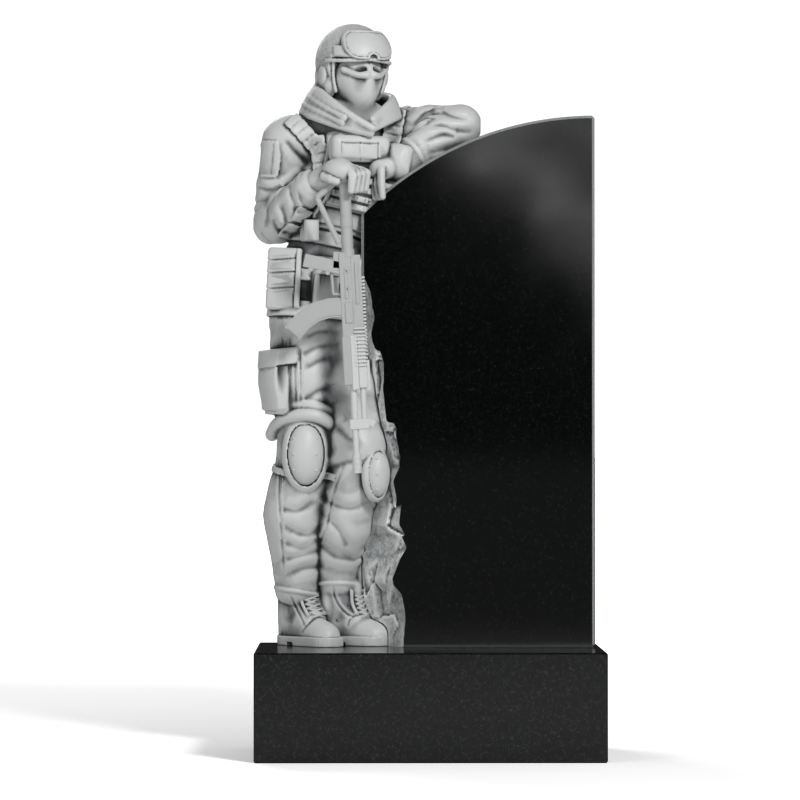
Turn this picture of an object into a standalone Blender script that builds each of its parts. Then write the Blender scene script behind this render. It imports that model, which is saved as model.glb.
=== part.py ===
"""War memorial: a soldier carved in pale stone leans on a polished stele above a plinth.

Metres, +Z up. X runs along the front of the plinth, and the front faces -Y.
The origin is the centre of the plinth's underside.
"""

import math
import random

import bmesh
import bpy
from mathutils import Euler, Matrix, Vector, noise

# Plinth: its width and depth follow what stands on it and the margins round it
PLINTH_HEIGHT = 0.310
PLINTH_CHAMFER = 0.004
LEFT_MARGIN = 0.060
RIGHT_MARGIN = 0.017
FRONT_MARGIN = 0.310
BACK_MARGIN = 0.050

# Stele: an upright slab whose top is an arc that falls from level at the right side
STELE_WIDTH = 0.680
STELE_HEIGHT = 1.548
STELE_THICKNESS = 0.240
STELE_CHAMFER = 0.008
ARC_RADIUS = 0.955
ARC_STEPS = 22

# Rough break down the stele's lower left, where the stone was left as it split
BREAK_TOP = 1.050
BREAK_BITE = 0.125
BREAK_PROFILE = (
    (0.00, 1.00), (0.10, 0.95), (0.19, 0.80), (0.25, 1.00), (0.31, 0.98), (0.34, 0.83), (0.41, 0.90),
    (0.46, 0.82), (0.50, 0.97), (0.57, 0.88), (0.63, 0.66), (0.74, 0.56), (0.85, 0.33), (1.00, 0.12),
)
BREAK_JITTER = 0.011
BREAK_SEED = 7
BREAK_ROWS = 17
BREAK_COLUMNS = 7
BREAK_DEPTH = 0.175
SEAT_FOOT = 0.780

# Soldier: the pose and the carving are shares of the figure's height
FIGURE_HEIGHT = 1.825
POSE_HEIGHT = 1.825
STANCE_WIDTH = 0.243
VOXEL = 0.0065
SMOOTH_STEPS = 3
KEEP_FACES = 0.048

# Gaps that keep the three stones apart
SEAT_GAP = 0.0004
SIDE_GAP = 0.0006
LEG_CLEARANCE = 0.007

# What follows from the sizes above
PLINTH_WIDTH = LEFT_MARGIN + STANCE_WIDTH + STELE_WIDTH + RIGHT_MARGIN
PLINTH_DEPTH = FRONT_MARGIN + STELE_THICKNESS + BACK_MARGIN
STELE_LEFT = -PLINTH_WIDTH / 2 + LEFT_MARGIN + STANCE_WIDTH
STELE_FRONT = -PLINTH_DEPTH / 2 + FRONT_MARGIN
FIGURE_SCALE = FIGURE_HEIGHT / POSE_HEIGHT
DATUM = Vector((STELE_LEFT, STELE_FRONT, PLINTH_HEIGHT + SEAT_GAP))
UP = Vector((0, 0, 1))


def stele_top(along):
    """Height of the stele's top above the plinth, at this distance from its left side."""
    reach = max(0.0, STELE_WIDTH - along)
    if reach >= ARC_RADIUS:
        return STELE_HEIGHT - ARC_RADIUS
    return STELE_HEIGHT - ARC_RADIUS + math.sqrt(ARC_RADIUS**2 - reach**2)


def resting(along, back, radius, sink=0.0):
    """Centre of a rounded limb of this radius that lies on the stele's top, in pose units."""
    height = stele_top(along * FIGURE_SCALE) / FIGURE_SCALE
    slope = (stele_top(along + 0.02) - stele_top(along - 0.02)) / 0.04
    lift = (radius - sink) * math.sqrt(1 + slope**2)
    return Vector((along, back, height + lift))


def material(name, colour, roughness):
    """A stone finish."""
    made = bpy.data.materials.new(name)
    made.use_nodes = True
    shader = made.node_tree.nodes["Principled BSDF"]
    shader.inputs["Base Color"].default_value = (*colour, 1)
    shader.inputs["Roughness"].default_value = roughness
    made.diffuse_color = (*colour, 1)
    return made


def link(name, mesh, collection, finish=None):
    """An object for a mesh, in a collection."""
    made = bpy.data.objects.new(name, mesh)
    collection.objects.link(made)
    if finish:
        made.data.materials.append(finish)
    return made


def hidden(name, mesh, collection):
    """A cutter, which isn't part of the memorial."""
    made = link(name, mesh, collection)
    made.hide_render = True
    made.display_type = "WIRE"
    return made


def mesh_of(clay, name):
    """Turns a bmesh into a mesh and frees it."""
    bmesh.ops.recalc_face_normals(clay, faces=clay.faces)
    made = bpy.data.meshes.new(name)
    clay.to_mesh(made)
    clay.free()
    return made


def boolean(target, cutter, operation):
    """Adds a Boolean modifier."""
    added = target.modifiers.new(cutter.name, "BOOLEAN")
    added.operation = operation
    added.object = cutter
    added.solver = "EXACT"


def chamfer(target, width):
    """Adds a flat chamfer along every sharp edge."""
    added = target.modifiers.new("chamfer", "BEVEL")
    added.width = width
    added.segments = 1
    added.limit_method = "ANGLE"
    added.angle_limit = math.radians(40)


def unit_shape(make, **sizes):
    """Points and faces of a primitive of unit size."""
    shape = bmesh.new()
    make(shape, **sizes)
    points = [corner.co.copy() for corner in shape.verts]
    faces = [[corner.index for corner in face.verts] for face in shape.faces]
    shape.free()
    return points, faces


LIMB_BALL = unit_shape(bmesh.ops.create_uvsphere, u_segments=14, v_segments=10, radius=1)
EGG_BALL = unit_shape(bmesh.ops.create_uvsphere, u_segments=24, v_segments=14, radius=1)
CUBE = unit_shape(bmesh.ops.create_cube, size=1)
DISC = unit_shape(bmesh.ops.create_cone, cap_ends=True, segments=24, radius1=1, radius2=1, depth=1)


class Clay:
    """Overlapping closed lumps, held as points and faces until they are fused."""

    def __init__(self):
        self.points = []
        self.faces = []

    def add(self, points, faces, place):
        """Adds one closed lump, moved by a matrix."""
        start = len(self.points)
        self.points += [place @ point for point in points]
        self.faces += [[start + corner for corner in face] for face in faces]

    def mesh(self, name, place):
        """A mesh of everything added, moved by a matrix."""
        made = bpy.data.meshes.new(name)
        made.from_pydata([place @ point for point in self.points], [], self.faces)
        return made


def bar(clay, start, end, start_radius, end_radius=None):
    """A limb: a ball whose halves are drawn apart, so that it tapers between rounded ends."""
    end_radius = start_radius if end_radius is None else end_radius
    start, end = Vector(start), Vector(end)
    axis = end - start
    turn = UP.rotation_difference(axis).to_matrix().to_4x4()
    points = []
    for point in LIMB_BALL[0]:
        if point.z > 1e-6:
            points.append(point * end_radius + UP * axis.length)
        else:
            points.append(point * start_radius)
    clay.add(points, LIMB_BALL[1], Matrix.Translation(start) @ turn)


def chain(clay, points, radii):
    """Bars joined end to end through these points."""
    for index in range(len(points) - 1):
        bar(clay, points[index], points[index + 1], radii[index], radii[index + 1])


def egg(clay, centre, radii, turn=(0, 0, 0)):
    """An ellipsoid of clay, turned by angles in degrees."""
    spin = Euler([math.radians(a) for a in turn]).to_matrix().to_4x4()
    place = Matrix.Translation(centre) @ spin @ Matrix.Diagonal((*radii, 1))
    clay.add(*EGG_BALL, place)


def block(clay, centre, size, turn=(0, 0, 0)):
    """A box of clay, turned by angles in degrees."""
    spin = Euler([math.radians(a) for a in turn]).to_matrix().to_4x4()
    place = Matrix.Translation(centre) @ spin @ Matrix.Diagonal((*size, 1))
    clay.add(*CUBE, place)


def disc(clay, centre, radius, height):
    """An upright round slab."""
    clay.add(*DISC, Matrix.Translation(centre) @ Matrix.Diagonal((radius, radius, height, 1)))


def ring(clay, centre, normal, radius, thickness, squash=1.0):
    """A hoop of clay round a limb: a cuff, a hem or a rolled seam."""
    turn = UP.rotation_difference(Vector(normal)).to_matrix()
    steps = 16
    points = []
    for step in range(steps + 1):
        angle = 2 * math.pi * step / steps
        offset = Vector((radius * math.cos(angle), radius * squash * math.sin(angle), 0))
        points.append(Vector(centre) + turn @ offset)
    chain(clay, points, [thickness] * len(points))


def spiral_folds(clay, start, end, start_radius, end_radius, folds):
    """Cloth folds on a limb. Each is (share along, share along, angle, angle, thickness)."""
    start, end = Vector(start), Vector(end)
    axis = (end - start).normalized()
    across = axis.cross(Vector((0, -1, 0))).normalized()
    front = across.cross(axis).normalized()
    if front.y > 0:
        front.negate()
    steps = 6
    for near, far, near_angle, far_angle, thickness in folds:
        points, radii = [], []
        for step in range(steps + 1):
            share = step / steps
            along = near + (far - near) * share
            angle = math.radians(near_angle + (far_angle - near_angle) * share)
            reach = start_radius + (end_radius - start_radius) * along
            outward = front * math.cos(angle) + across * math.sin(angle)
            points.append(start.lerp(end, along) + outward * (reach - thickness * 0.35))
            radii.append(thickness * (0.45 + 0.55 * math.sin(math.pi * share)))
        chain(clay, points, radii)


def local_frame(origin, yaw, pitch=0.0, lean=0.0):
    """A function that takes points from a turned frame to the pose frame."""
    turn = Euler((math.radians(pitch), math.radians(lean), math.radians(yaw))).to_matrix()
    origin = Vector(origin)

    def place(across, back, height):
        return origin + turn @ Vector((across, back, height))

    return place


HEAD_TURN = 26
HEAD_NOD = 8
CHEST_TURN = 22
HIP_TURN = 28


def head(clay):
    """Helmet, goggles pushed up on it, masked face and neck."""
    at = local_frame((-0.022, 0.098, 1.712), HEAD_TURN, HEAD_NOD)
    facing = (HEAD_NOD, 0, HEAD_TURN)
    egg(clay, at(0, 0.008, 0.0), (0.106, 0.124, 0.112), facing)
    egg(clay, at(0, 0.035, -0.045), (0.098, 0.092, 0.070), facing)
    for side in (-1, 1):
        egg(clay, at(0.080 * side, 0.004, -0.052), (0.024, 0.046, 0.052), facing)
        bar(clay, at(0.083 * side, -0.045, -0.050), at(0.055 * side, -0.075, -0.115), 0.008)
    for step in range(9):
        angle = math.radians(-64 + 16 * step)
        following = math.radians(-64 + 16 * (step + 1))
        if step < 8:
            bar(
                clay,
                at(0.108 * math.sin(angle), -0.122 * math.cos(angle), -0.020),
                at(0.108 * math.sin(following), -0.122 * math.cos(following), -0.020),
                0.008,
            )
    egg(clay, at(0, -0.040, -0.055), (0.068, 0.076, 0.085), facing)
    egg(clay, at(0, -0.060, -0.095), (0.048, 0.056, 0.050), facing)
    egg(clay, at(0, -0.112, -0.058), (0.014, 0.016, 0.030), facing)
    goggles(clay, at)
    bar(clay, (-0.036, 0.125, 1.50), (-0.026, 0.105, 1.66), 0.066, 0.060)


def goggles(clay, at):
    """The wide one-piece lens that rides on the helmet's front."""
    steps = 8
    for step in range(steps):
        spread = [-44 + 88 * (step + more) / steps for more in (0, 1)]
        ends = [math.radians(angle) for angle in spread]
        for height, radius, reach in ((0.010, 0.014, 0.113), (0.036, 0.020, 0.106), (0.060, 0.018, 0.092)):
            if step in (3, 4) and height < 0.02:
                continue
            bar(
                clay,
                at(reach * math.sin(ends[0]), -reach * math.cos(ends[0]) - 0.008, height),
                at(reach * math.sin(ends[1]), -reach * math.cos(ends[1]) - 0.008, height),
                radius,
            )


def hood(clay):
    """The hood lies open round the neck, with its rim meeting in a point on the chest."""
    rim = [
        (0.034, -0.035, 1.512), (-0.040, -0.030, 1.562), (-0.104, 0.020, 1.612), (-0.138, 0.100, 1.644),
        (-0.110, 0.180, 1.650), (-0.020, 0.220, 1.640), (0.060, 0.200, 1.625), (0.096, 0.140, 1.612),
        (0.082, 0.060, 1.585), (0.034, -0.020, 1.535),
    ]
    chain(clay, rim, [0.012, 0.013, 0.014, 0.016, 0.018, 0.020, 0.018, 0.015, 0.012, 0.010])
    outer = [
        (0.020, -0.030, 1.500), (-0.080, -0.020, 1.530), (-0.155, 0.050, 1.560), (-0.180, 0.130, 1.580),
        (-0.130, 0.205, 1.590), (-0.020, 0.245, 1.580), (0.070, 0.225, 1.570), (0.100, 0.150, 1.560),
    ]
    chain(clay, outer, [0.012, 0.022, 0.034, 0.040, 0.042, 0.042, 0.038, 0.028])
    egg(clay, (-0.030, 0.135, 1.560), (0.120, 0.100, 0.060), (0, 6, CHEST_TURN))


def torso(clay):
    """Hips, waist, chest and shoulders under the carrier vest."""
    egg(clay, (-0.150, 0.125, 0.975), (0.112, 0.108, 0.130), (0, 0, HIP_TURN))
    egg(clay, (-0.132, 0.125, 1.080), (0.118, 0.102, 0.150), (0, 10, HIP_TURN))
    egg(clay, (-0.070, 0.125, 1.330), (0.128, 0.112, 0.210), (0, 14, CHEST_TURN))
    egg(clay, (-0.030, 0.135, 1.440), (0.130, 0.112, 0.110), (0, 8, CHEST_TURN))
    bar(clay, (-0.190, 0.095, 1.490), (0.095, 0.195, 1.520), 0.066, 0.058)


def vest(clay):
    """Front and back plates, cummerbund, shoulder straps, belt and pouches."""
    at = local_frame((-0.040, 0.125, 1.380), CHEST_TURN, 0, 12)
    facing = (0, 12, CHEST_TURN)
    block(clay, at(0.006, -0.112, -0.010), (0.220, 0.040, 0.220), facing)
    block(clay, at(0.004, 0.112, -0.020), (0.230, 0.036, 0.250), facing)
    block(clay, at(0.012, -0.140, 0.030), (0.125, 0.030, 0.056), facing)
    for side in (-1, 1):
        chain(
            clay,
            [at(0.088 * side, -0.118, 0.085), at(0.098 * side, -0.085, 0.140), at(0.096 * side, 0.000, 0.160),
             at(0.092 * side, 0.100, 0.110)],
            [0.022, 0.022, 0.022, 0.024],
        )
    for level in (-0.20, -0.16, -0.12):
        shift = 0.05 * level
        egg(clay, at(shift, 0.0, level), (0.132, 0.120, 0.026), facing)
    waist = local_frame((-0.150, 0.125, 1.050), HIP_TURN, 0, 4)
    turned = (0, 4, HIP_TURN)
    for level, reach in ((-0.070, 0.124), (0.050, 0.126)):
        egg(clay, waist(0, 0, level), (reach, 0.112, 0.022), turned)
    block(clay, waist(-0.110, -0.075, 0.020), (0.105, 0.090, 0.180), (0, 4, HIP_TURN - 10))
    block(clay, waist(-0.012, -0.112, 0.010), (0.085, 0.050, 0.150), turned)
    block(clay, waist(0.075, -0.095, 0.020), (0.070, 0.050, 0.140), turned)
    block(clay, waist(0.0, 0.115, 0.010), (0.130, 0.045, 0.130), turned)


RIGHT_SHOULDER = (-0.222, 0.090, 1.480)
RIGHT_ELBOW = (-0.262, 0.120, 1.236)
RIGHT_CUFF = (-0.146, -0.045, 1.338)
RIGHT_WRIST = (-0.122, -0.070, 1.352)
RIGHT_PALM = (-0.060, -0.118, 1.378)


def right_arm(clay):
    """The arm bends at the elbow and brings the hand up onto the rifle's butt."""
    middle = Vector(RIGHT_SHOULDER).lerp(Vector(RIGHT_ELBOW), 0.55)
    chain(clay, [RIGHT_SHOULDER, middle, RIGHT_ELBOW], [0.068, 0.062, 0.056])
    chain(clay, [RIGHT_ELBOW, (-0.212, 0.040, 1.278), RIGHT_CUFF], [0.056, 0.054, 0.045])
    block(clay, (-0.275, 0.050, 1.425), (0.050, 0.060, 0.110), (0, 0, 35))
    spiral_folds(
        clay, RIGHT_SHOULDER, RIGHT_ELBOW, 0.068, 0.058,
        [(0.55, 0.72, -70, 60, 0.012), (0.74, 0.86, -80, 40, 0.012), (0.20, 0.50, 20, 70, 0.010),
         (0.60, 0.80, 100, 220, 0.012)],
    )
    spiral_folds(
        clay, RIGHT_ELBOW, RIGHT_CUFF, 0.058, 0.047,
        [(0.10, 0.45, -100, 60, 0.013), (0.30, 0.66, -90, 70, 0.012), (0.52, 0.86, -80, 60, 0.011),
         (0.20, 0.70, 120, 200, 0.011)],
    )
    along = Vector(RIGHT_CUFF) - Vector(RIGHT_ELBOW)
    ring(clay, RIGHT_CUFF, along, 0.041, 0.008)


def fingers(clay, roots, reach, tips, radius):
    """Curled fingers: each runs from a knuckle over a middle joint to a tip."""
    for root, middle, tip in zip(roots, reach, tips):
        chain(clay, [root, middle, tip], [radius * 1.1, radius, radius * 0.85])


def right_hand(clay):
    """Gloved hand laid over the butt, with its fingers hanging down past the stock."""
    chain(clay, [RIGHT_WRIST, RIGHT_PALM], [0.034, 0.036])
    egg(clay, (-0.060, -0.128, 1.378), (0.050, 0.034, 0.028), (0, 14, -20))
    egg(clay, (-0.046, -0.096, 1.380), (0.042, 0.030, 0.026), (0, 14, -20))
    count = 4
    roots = [Vector((-0.042 + 0.013 * n, -0.145 + 0.024 * n, 1.386 - 0.002 * n)) for n in range(count)]
    reach = [Vector((-0.024 + 0.013 * n, -0.158 + 0.023 * n, 1.360 + 0.004 * n)) for n in range(count)]
    tips = [Vector((-0.028 + 0.013 * n, -0.154 + 0.022 * n, 1.318 + 0.003 * n)) for n in range(count)]
    fingers(clay, roots, reach, tips, 0.012)
    chain(clay, [(-0.100, -0.138, 1.362), (-0.080, -0.152, 1.346), (-0.066, -0.150, 1.328)], [0.016, 0.013, 0.011])


LEFT_SHOULDER = (0.112, 0.200, 1.528)
LEFT_ELBOW = resting(0.292, 0.115, 0.058, 0.004)
LEFT_MIDDLE = resting(0.200, 0.085, 0.054, 0.003)
LEFT_CUFF = resting(0.118, 0.070, 0.045, 0.000)
LEFT_PALM = LEFT_CUFF + Vector((-0.066, -0.018, -0.030))


def left_arm(clay):
    """The arm lies folded along the stele's top, elbow out and wrist towards the chest."""
    chain(clay, [LEFT_SHOULDER, (0.205, 0.170, 1.528), LEFT_ELBOW], [0.060, 0.060, 0.060])
    chain(clay, [LEFT_ELBOW, LEFT_MIDDLE, LEFT_CUFF], [0.060, 0.056, 0.046])
    spiral_folds(
        clay, LEFT_ELBOW, LEFT_CUFF, 0.060, 0.048,
        [(0.00, 0.30, 130, 10, 0.012), (0.12, 0.50, 140, 0, 0.012), (0.30, 0.62, 130, 20, 0.011)],
    )
    spiral_folds(
        clay, LEFT_SHOULDER, LEFT_ELBOW, 0.060, 0.058,
        [(0.18, 0.26, -60, 100, 0.010), (0.42, 0.56, -60, 100, 0.012)],
    )
    along = LEFT_CUFF - LEFT_MIDDLE
    ring(clay, LEFT_CUFF, along, 0.042, 0.008)
    ring(clay, LEFT_CUFF + along * 0.28, along, 0.034, 0.007)


def left_hand(clay):
    """Gloved hand that hangs from the wrist over the stele's corner."""
    wrist = LEFT_CUFF.lerp(LEFT_PALM, 0.35)
    chain(clay, [LEFT_CUFF, wrist, LEFT_PALM], [0.036, 0.034, 0.030])
    count = 4
    roots = [LEFT_PALM + Vector((-0.006 + 0.008 * n, 0.030 - 0.020 * n, -0.006)) for n in range(count)]
    reach = [LEFT_PALM + Vector((-0.018 + 0.010 * n, 0.026 - 0.019 * n, -0.042)) for n in range(count)]
    tips = [LEFT_PALM + Vector((-0.016 + 0.009 * n, 0.022 - 0.018 * n, -0.078)) for n in range(count)]
    fingers(clay, roots, reach, tips, 0.0115)


RIGHT_HIP = (-0.165, 0.095, 0.945)
RIGHT_THIGH = (-0.166, 0.085, 0.780)
RIGHT_KNEE = (-0.163, 0.075, 0.560)
RIGHT_SHIN = (-0.200, 0.110, 0.380)
RIGHT_ANKLE = (-0.190, 0.140, 0.220)
LEFT_HIP = (-0.095, 0.155, 0.945)
LEFT_KNEE = (-0.008, 0.050, 0.580)
LEFT_SHIN = (-0.048, 0.105, 0.350)
LEFT_ANKLE = (-0.072, 0.150, 0.235)


def right_leg(clay):
    """The straight leg that carries the weight, with a cargo pocket and a knee pad."""
    chain(clay, [RIGHT_HIP, RIGHT_THIGH, RIGHT_KNEE], [0.100, 0.096, 0.078])
    chain(clay, [RIGHT_KNEE, RIGHT_SHIN, RIGHT_ANKLE], [0.078, 0.081, 0.068])
    block(clay, (-0.240, 0.052, 0.775), (0.052, 0.100, 0.180), (0, 3, 35))
    block(clay, (-0.242, 0.048, 0.850), (0.058, 0.108, 0.030), (0, 3, 35))
    ring(clay, (-0.168, 0.080, 0.648), (0.12, 0.25, 1), 0.080, 0.015, 0.95)
    ring(clay, (-0.168, 0.082, 0.672), (0.16, 0.15, 1), 0.080, 0.012, 0.95)
    spiral_folds(
        clay, RIGHT_KNEE, RIGHT_ANKLE, 0.078, 0.074,
        [(0.32, 0.44, -80, 80, 0.010), (0.56, 0.72, 80, -60, 0.012), (0.72, 0.88, -90, 70, 0.014),
         (0.84, 0.96, 90, -70, 0.014), (0.50, 0.80, 110, 240, 0.014)],
    )
    spiral_folds(
        clay, RIGHT_HIP, RIGHT_KNEE, 0.106, 0.080,
        [(0.18, 0.30, -50, 60, 0.012), (0.34, 0.48, -60, 50, 0.012), (0.58, 0.66, -70, 60, 0.012),
         (0.10, 0.50, 140, 190, 0.014)],
    )
    knee_pad(clay, RIGHT_KNEE, 12, 1.0)
    ring(clay, (-0.188, 0.142, 0.186), (0.1, 0.0, 1), 0.060, 0.011)


def left_leg(clay):
    """The bent leg, whose knee comes forward beside the stele."""
    middle = Vector(LEFT_HIP).lerp(Vector(LEFT_KNEE), 0.5)
    chain(clay, [LEFT_HIP, middle, LEFT_KNEE], [0.100, 0.090, 0.076])
    chain(clay, [LEFT_KNEE, LEFT_SHIN, LEFT_ANKLE], [0.074, 0.074, 0.062])
    spiral_folds(
        clay, LEFT_KNEE, LEFT_ANKLE, 0.070, 0.068,
        [(0.34, 0.50, -90, 70, 0.013), (0.56, 0.72, 90, -70, 0.014), (0.74, 0.90, -90, 80, 0.015),
         (0.20, 0.30, -60, 80, 0.011)],
    )
    spiral_folds(
        clay, LEFT_HIP, LEFT_KNEE, 0.098, 0.070,
        [(0.50, 0.60, -80, 80, 0.012), (0.72, 0.80, -80, 80, 0.011)],
    )
    knee_pad(clay, (0.002, 0.048, 0.500), 58, 0.78)
    ring(clay, (-0.073, 0.152, 0.203), (0.0, 0.1, 1), 0.054, 0.011)


def knee_pad(clay, knee, yaw, share):
    """An oval cap on a rimmed pad, facing the way the knee points."""
    facing = Vector((math.sin(math.radians(yaw)), -math.cos(math.radians(yaw)), 0))
    centre = Vector(knee) + facing * 0.048
    for size, out in (((0.061, 0.036, 0.103), 0.0), ((0.049, 0.034, 0.082), 0.011)):
        egg(clay, centre + facing * out, [share * radius for radius in size], (0, 0, yaw))


def boot(clay, ankle, heel, toe):
    """A laced boot: shaft, heel, vamp, toe cap and thick sole."""
    ankle, heel, toe = Vector(ankle), Vector(heel), Vector(toe)
    along = (toe - heel).normalized()
    yaw = math.degrees(math.atan2(along.x, -along.y))
    instep = heel.lerp(toe, 0.52) + Vector((0, 0, 0.062))
    chain(clay, [ankle, heel + along * 0.075 + Vector((0, 0, 0.090))], [0.052, 0.050])
    chain(clay, [heel + along * 0.050 + Vector((0, 0, 0.050)), instep], [0.046, 0.046])
    chain(clay, [heel + along * 0.080 + Vector((0, 0, 0.125)), instep], [0.040, 0.040])
    egg(clay, heel.lerp(toe, 0.78) + Vector((0, 0, 0.046)), (0.048, 0.080, 0.040), (0, 0, yaw))
    sole = 0.030
    for share, width, length in ((0.16, 0.078, 0.090), (0.50, 0.080, 0.110), (0.76, 0.092, 0.080)):
        middle = heel.lerp(toe, share)
        block(clay, (middle.x, middle.y, sole / 2), (width, length, sole), (0, 0, yaw))
    for share, width in ((0.84, 0.046), (0.93, 0.036)):
        middle = heel.lerp(toe, share)
        disc(clay, (middle.x, middle.y, sole / 2), width, sole)


RIGHT_SOLE = ((-0.226, 0.208, 0), (-0.078, 0.022, 0))
LEFT_SOLE = ((-0.108, 0.195, 0), (0.066, 0.085, 0))


def boots(clay):
    """Both boots, with their toes turned out to the right."""
    boot(clay, RIGHT_ANKLE, *RIGHT_SOLE)
    boot(clay, LEFT_ANKLE, *LEFT_SOLE)


RIFLE_BACK = -0.112


def rifle(clay):
    """A rifle held muzzle down, with an open folding stock, grip, curved magazine and fore-end."""
    y = RIFLE_BACK
    tilt = -3
    butt = Vector((-0.048, y, 1.352))
    muzzle = Vector((-0.010, y, 0.498))

    def down(drop, across=0.0, back=0.0):
        point = butt.lerp(muzzle, drop)
        return point + Vector((across, back, 0))

    bar(clay, down(0.000), down(0.262), 0.0175)
    bar(clay, (-0.128, y, 1.300), (-0.064, y, 1.168), 0.0090)
    bar(clay, (-0.128, y, 1.300), (-0.050, y, 1.366), 0.0100)
    block(clay, down(0.400, -0.001), (0.040, 0.036, 0.262), (0, tilt, 0))
    block(clay, down(0.385, 0.024), (0.030, 0.030, 0.225), (0, tilt, 0))
    block(clay, (-0.110, y, 1.108), (0.112, 0.028, 0.040), (0, 12, 0))
    block(clay, (-0.062, y, 1.118), (0.040, 0.028, 0.050), (0, 4, 0))
    bar(clay, (-0.086, y, 1.090), (-0.080, y, 1.022), 0.0050)
    bar(clay, (-0.080, y, 1.022), (-0.050, y, 1.022), 0.0050)
    curve = [(-0.040, 0.984), (-0.090, 0.982), (-0.132, 0.970), (-0.168, 0.944), (-0.196, 0.910)]
    for first, second in zip(curve, curve[1:]):
        middle = ((first[0] + second[0]) / 2, y, (first[1] + second[1]) / 2)
        angle = math.degrees(math.atan2(first[1] - second[1], first[0] - second[0]))
        block(clay, middle, (0.058, 0.026, 0.058), (0, -angle, 0))
    block(clay, down(0.615, -0.003), (0.046, 0.040, 0.150), (0, tilt, 0))
    block(clay, down(0.615, 0.030), (0.030, 0.034, 0.145), (0, tilt, 0))
    for step in range(9):
        block(clay, down(0.545 + 0.018 * step, 0.032), (0.038, 0.042, 0.007), (0, tilt, 0))
    bar(clay, down(0.68, -0.001), down(0.94), 0.0100)
    bar(clay, down(0.68, 0.029), down(0.83, 0.029), 0.0090)
    block(clay, down(0.825, 0.012), (0.058, 0.026, 0.034), (0, tilt, 0))
    block(clay, down(0.820, 0.046), (0.026, 0.012, 0.022), (0, tilt + 30, 0))
    bar(clay, down(0.930), down(0.990), 0.0135)


def scaled(clay, name):
    """Takes modelled clay from the pose frame to its size and place on the plinth."""
    return clay.mesh(name, Matrix.Translation(DATUM) @ Matrix.Scale(FIGURE_SCALE, 4))


def soldier(collection, finish):
    """The whole figure, fused from its clay into one carved stone."""
    clay = Clay()
    for make in (head, hood, torso, vest, right_arm, right_hand, left_arm, left_hand):
        make(clay)
    for make in (right_leg, left_leg, boots, rifle):
        make(clay)
    figure = link("soldier", scaled(clay, "soldier"), collection, finish)
    fuse = figure.modifiers.new("fuse", "REMESH")
    fuse.mode = "VOXEL"
    fuse.voxel_size = VOXEL * FIGURE_SCALE
    soften = figure.modifiers.new("soften", "SMOOTH")
    soften.factor = 0.5
    soften.iterations = SMOOTH_STEPS
    facet = figure.modifiers.new("facet", "DECIMATE")
    facet.ratio = KEEP_FACES
    return figure


def slab_outline(grow, foot):
    """Outline of the stele seen from the front, from a height up to the arc on top."""
    left, right = -grow, STELE_WIDTH + grow
    points = [(left, stele_top(0) + grow)]
    for step in range(1, ARC_STEPS):
        along = STELE_WIDTH * step / ARC_STEPS
        points.append((along, stele_top(along) + grow))
    points += [(right, STELE_HEIGHT + grow), (right, foot), (left, foot)]
    return points


def slab_mesh(name, grow, foot):
    """The stele's slab, drawn as an outline and pushed back through its thickness."""
    clay = bmesh.new()
    corners = [
        clay.verts.new((STELE_LEFT + x, STELE_FRONT - grow, PLINTH_HEIGHT + SEAT_GAP + z))
        for x, z in slab_outline(grow, foot)
    ]
    face = clay.faces.new(corners)
    pushed = bmesh.ops.extrude_face_region(clay, geom=[face])["geom"]
    moved = [item for item in pushed if isinstance(item, bmesh.types.BMVert)]
    bmesh.ops.translate(clay, verts=moved, vec=(0, STELE_THICKNESS + 2 * grow, 0))
    return mesh_of(clay, name)


def break_edge(height):
    """How far the break bites into the polished front at this height."""
    share = min(1.0, max(0.0, height / BREAK_TOP))
    for (low, near), (high, far) in zip(BREAK_PROFILE, BREAK_PROFILE[1:]):
        if share <= high:
            return BREAK_BITE * (near + (far - near) * (share - low) / (high - low))
    return 0.0


def break_row(row):
    """One level of what has split away, as a closed outline seen from above."""
    level = row / (BREAK_ROWS - 1)
    height = -0.02 + (BREAK_TOP + 0.02) * level
    front, back = break_edge(height), -0.030
    outline = [(-0.300, 0.320), (-0.300, -0.100), (front, -0.100)]
    for column in range(BREAK_COLUMNS):
        across = column / (BREAK_COLUMNS - 1)
        x = front + (back - front) * across**1.5
        y = BREAK_DEPTH * (1 - (1 - across) ** 2.6)
        x += random.uniform(-1, 1) * BREAK_JITTER * (1.2 - across)
        y += random.uniform(-1, 1) * BREAK_JITTER * (0.2 + across)
        x += 0.010 * noise.noise(Vector((0, across * 2, height * 6)))
        outline.append((x, y))
    outline.append((-0.060, 0.320))
    return [Vector((STELE_LEFT + x, STELE_FRONT + y, PLINTH_HEIGHT + height)) for x, y in outline]


def break_mesh():
    """What has split away: its far side is rough, from the front edge to the left side."""
    random.seed(BREAK_SEED)
    clay = bmesh.new()
    rows = [[clay.verts.new(point) for point in break_row(row)] for row in range(BREAK_ROWS)]
    count = len(rows[0])
    for low, high in zip(rows, rows[1:]):
        for corner in range(count):
            following = (corner + 1) % count
            clay.faces.new((low[corner], low[following], high[following], high[corner]))
    clay.faces.new(rows[0][::-1])
    clay.faces.new(rows[-1])
    bmesh.ops.triangulate(clay, faces=clay.faces)
    return mesh_of(clay, "break")


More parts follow.
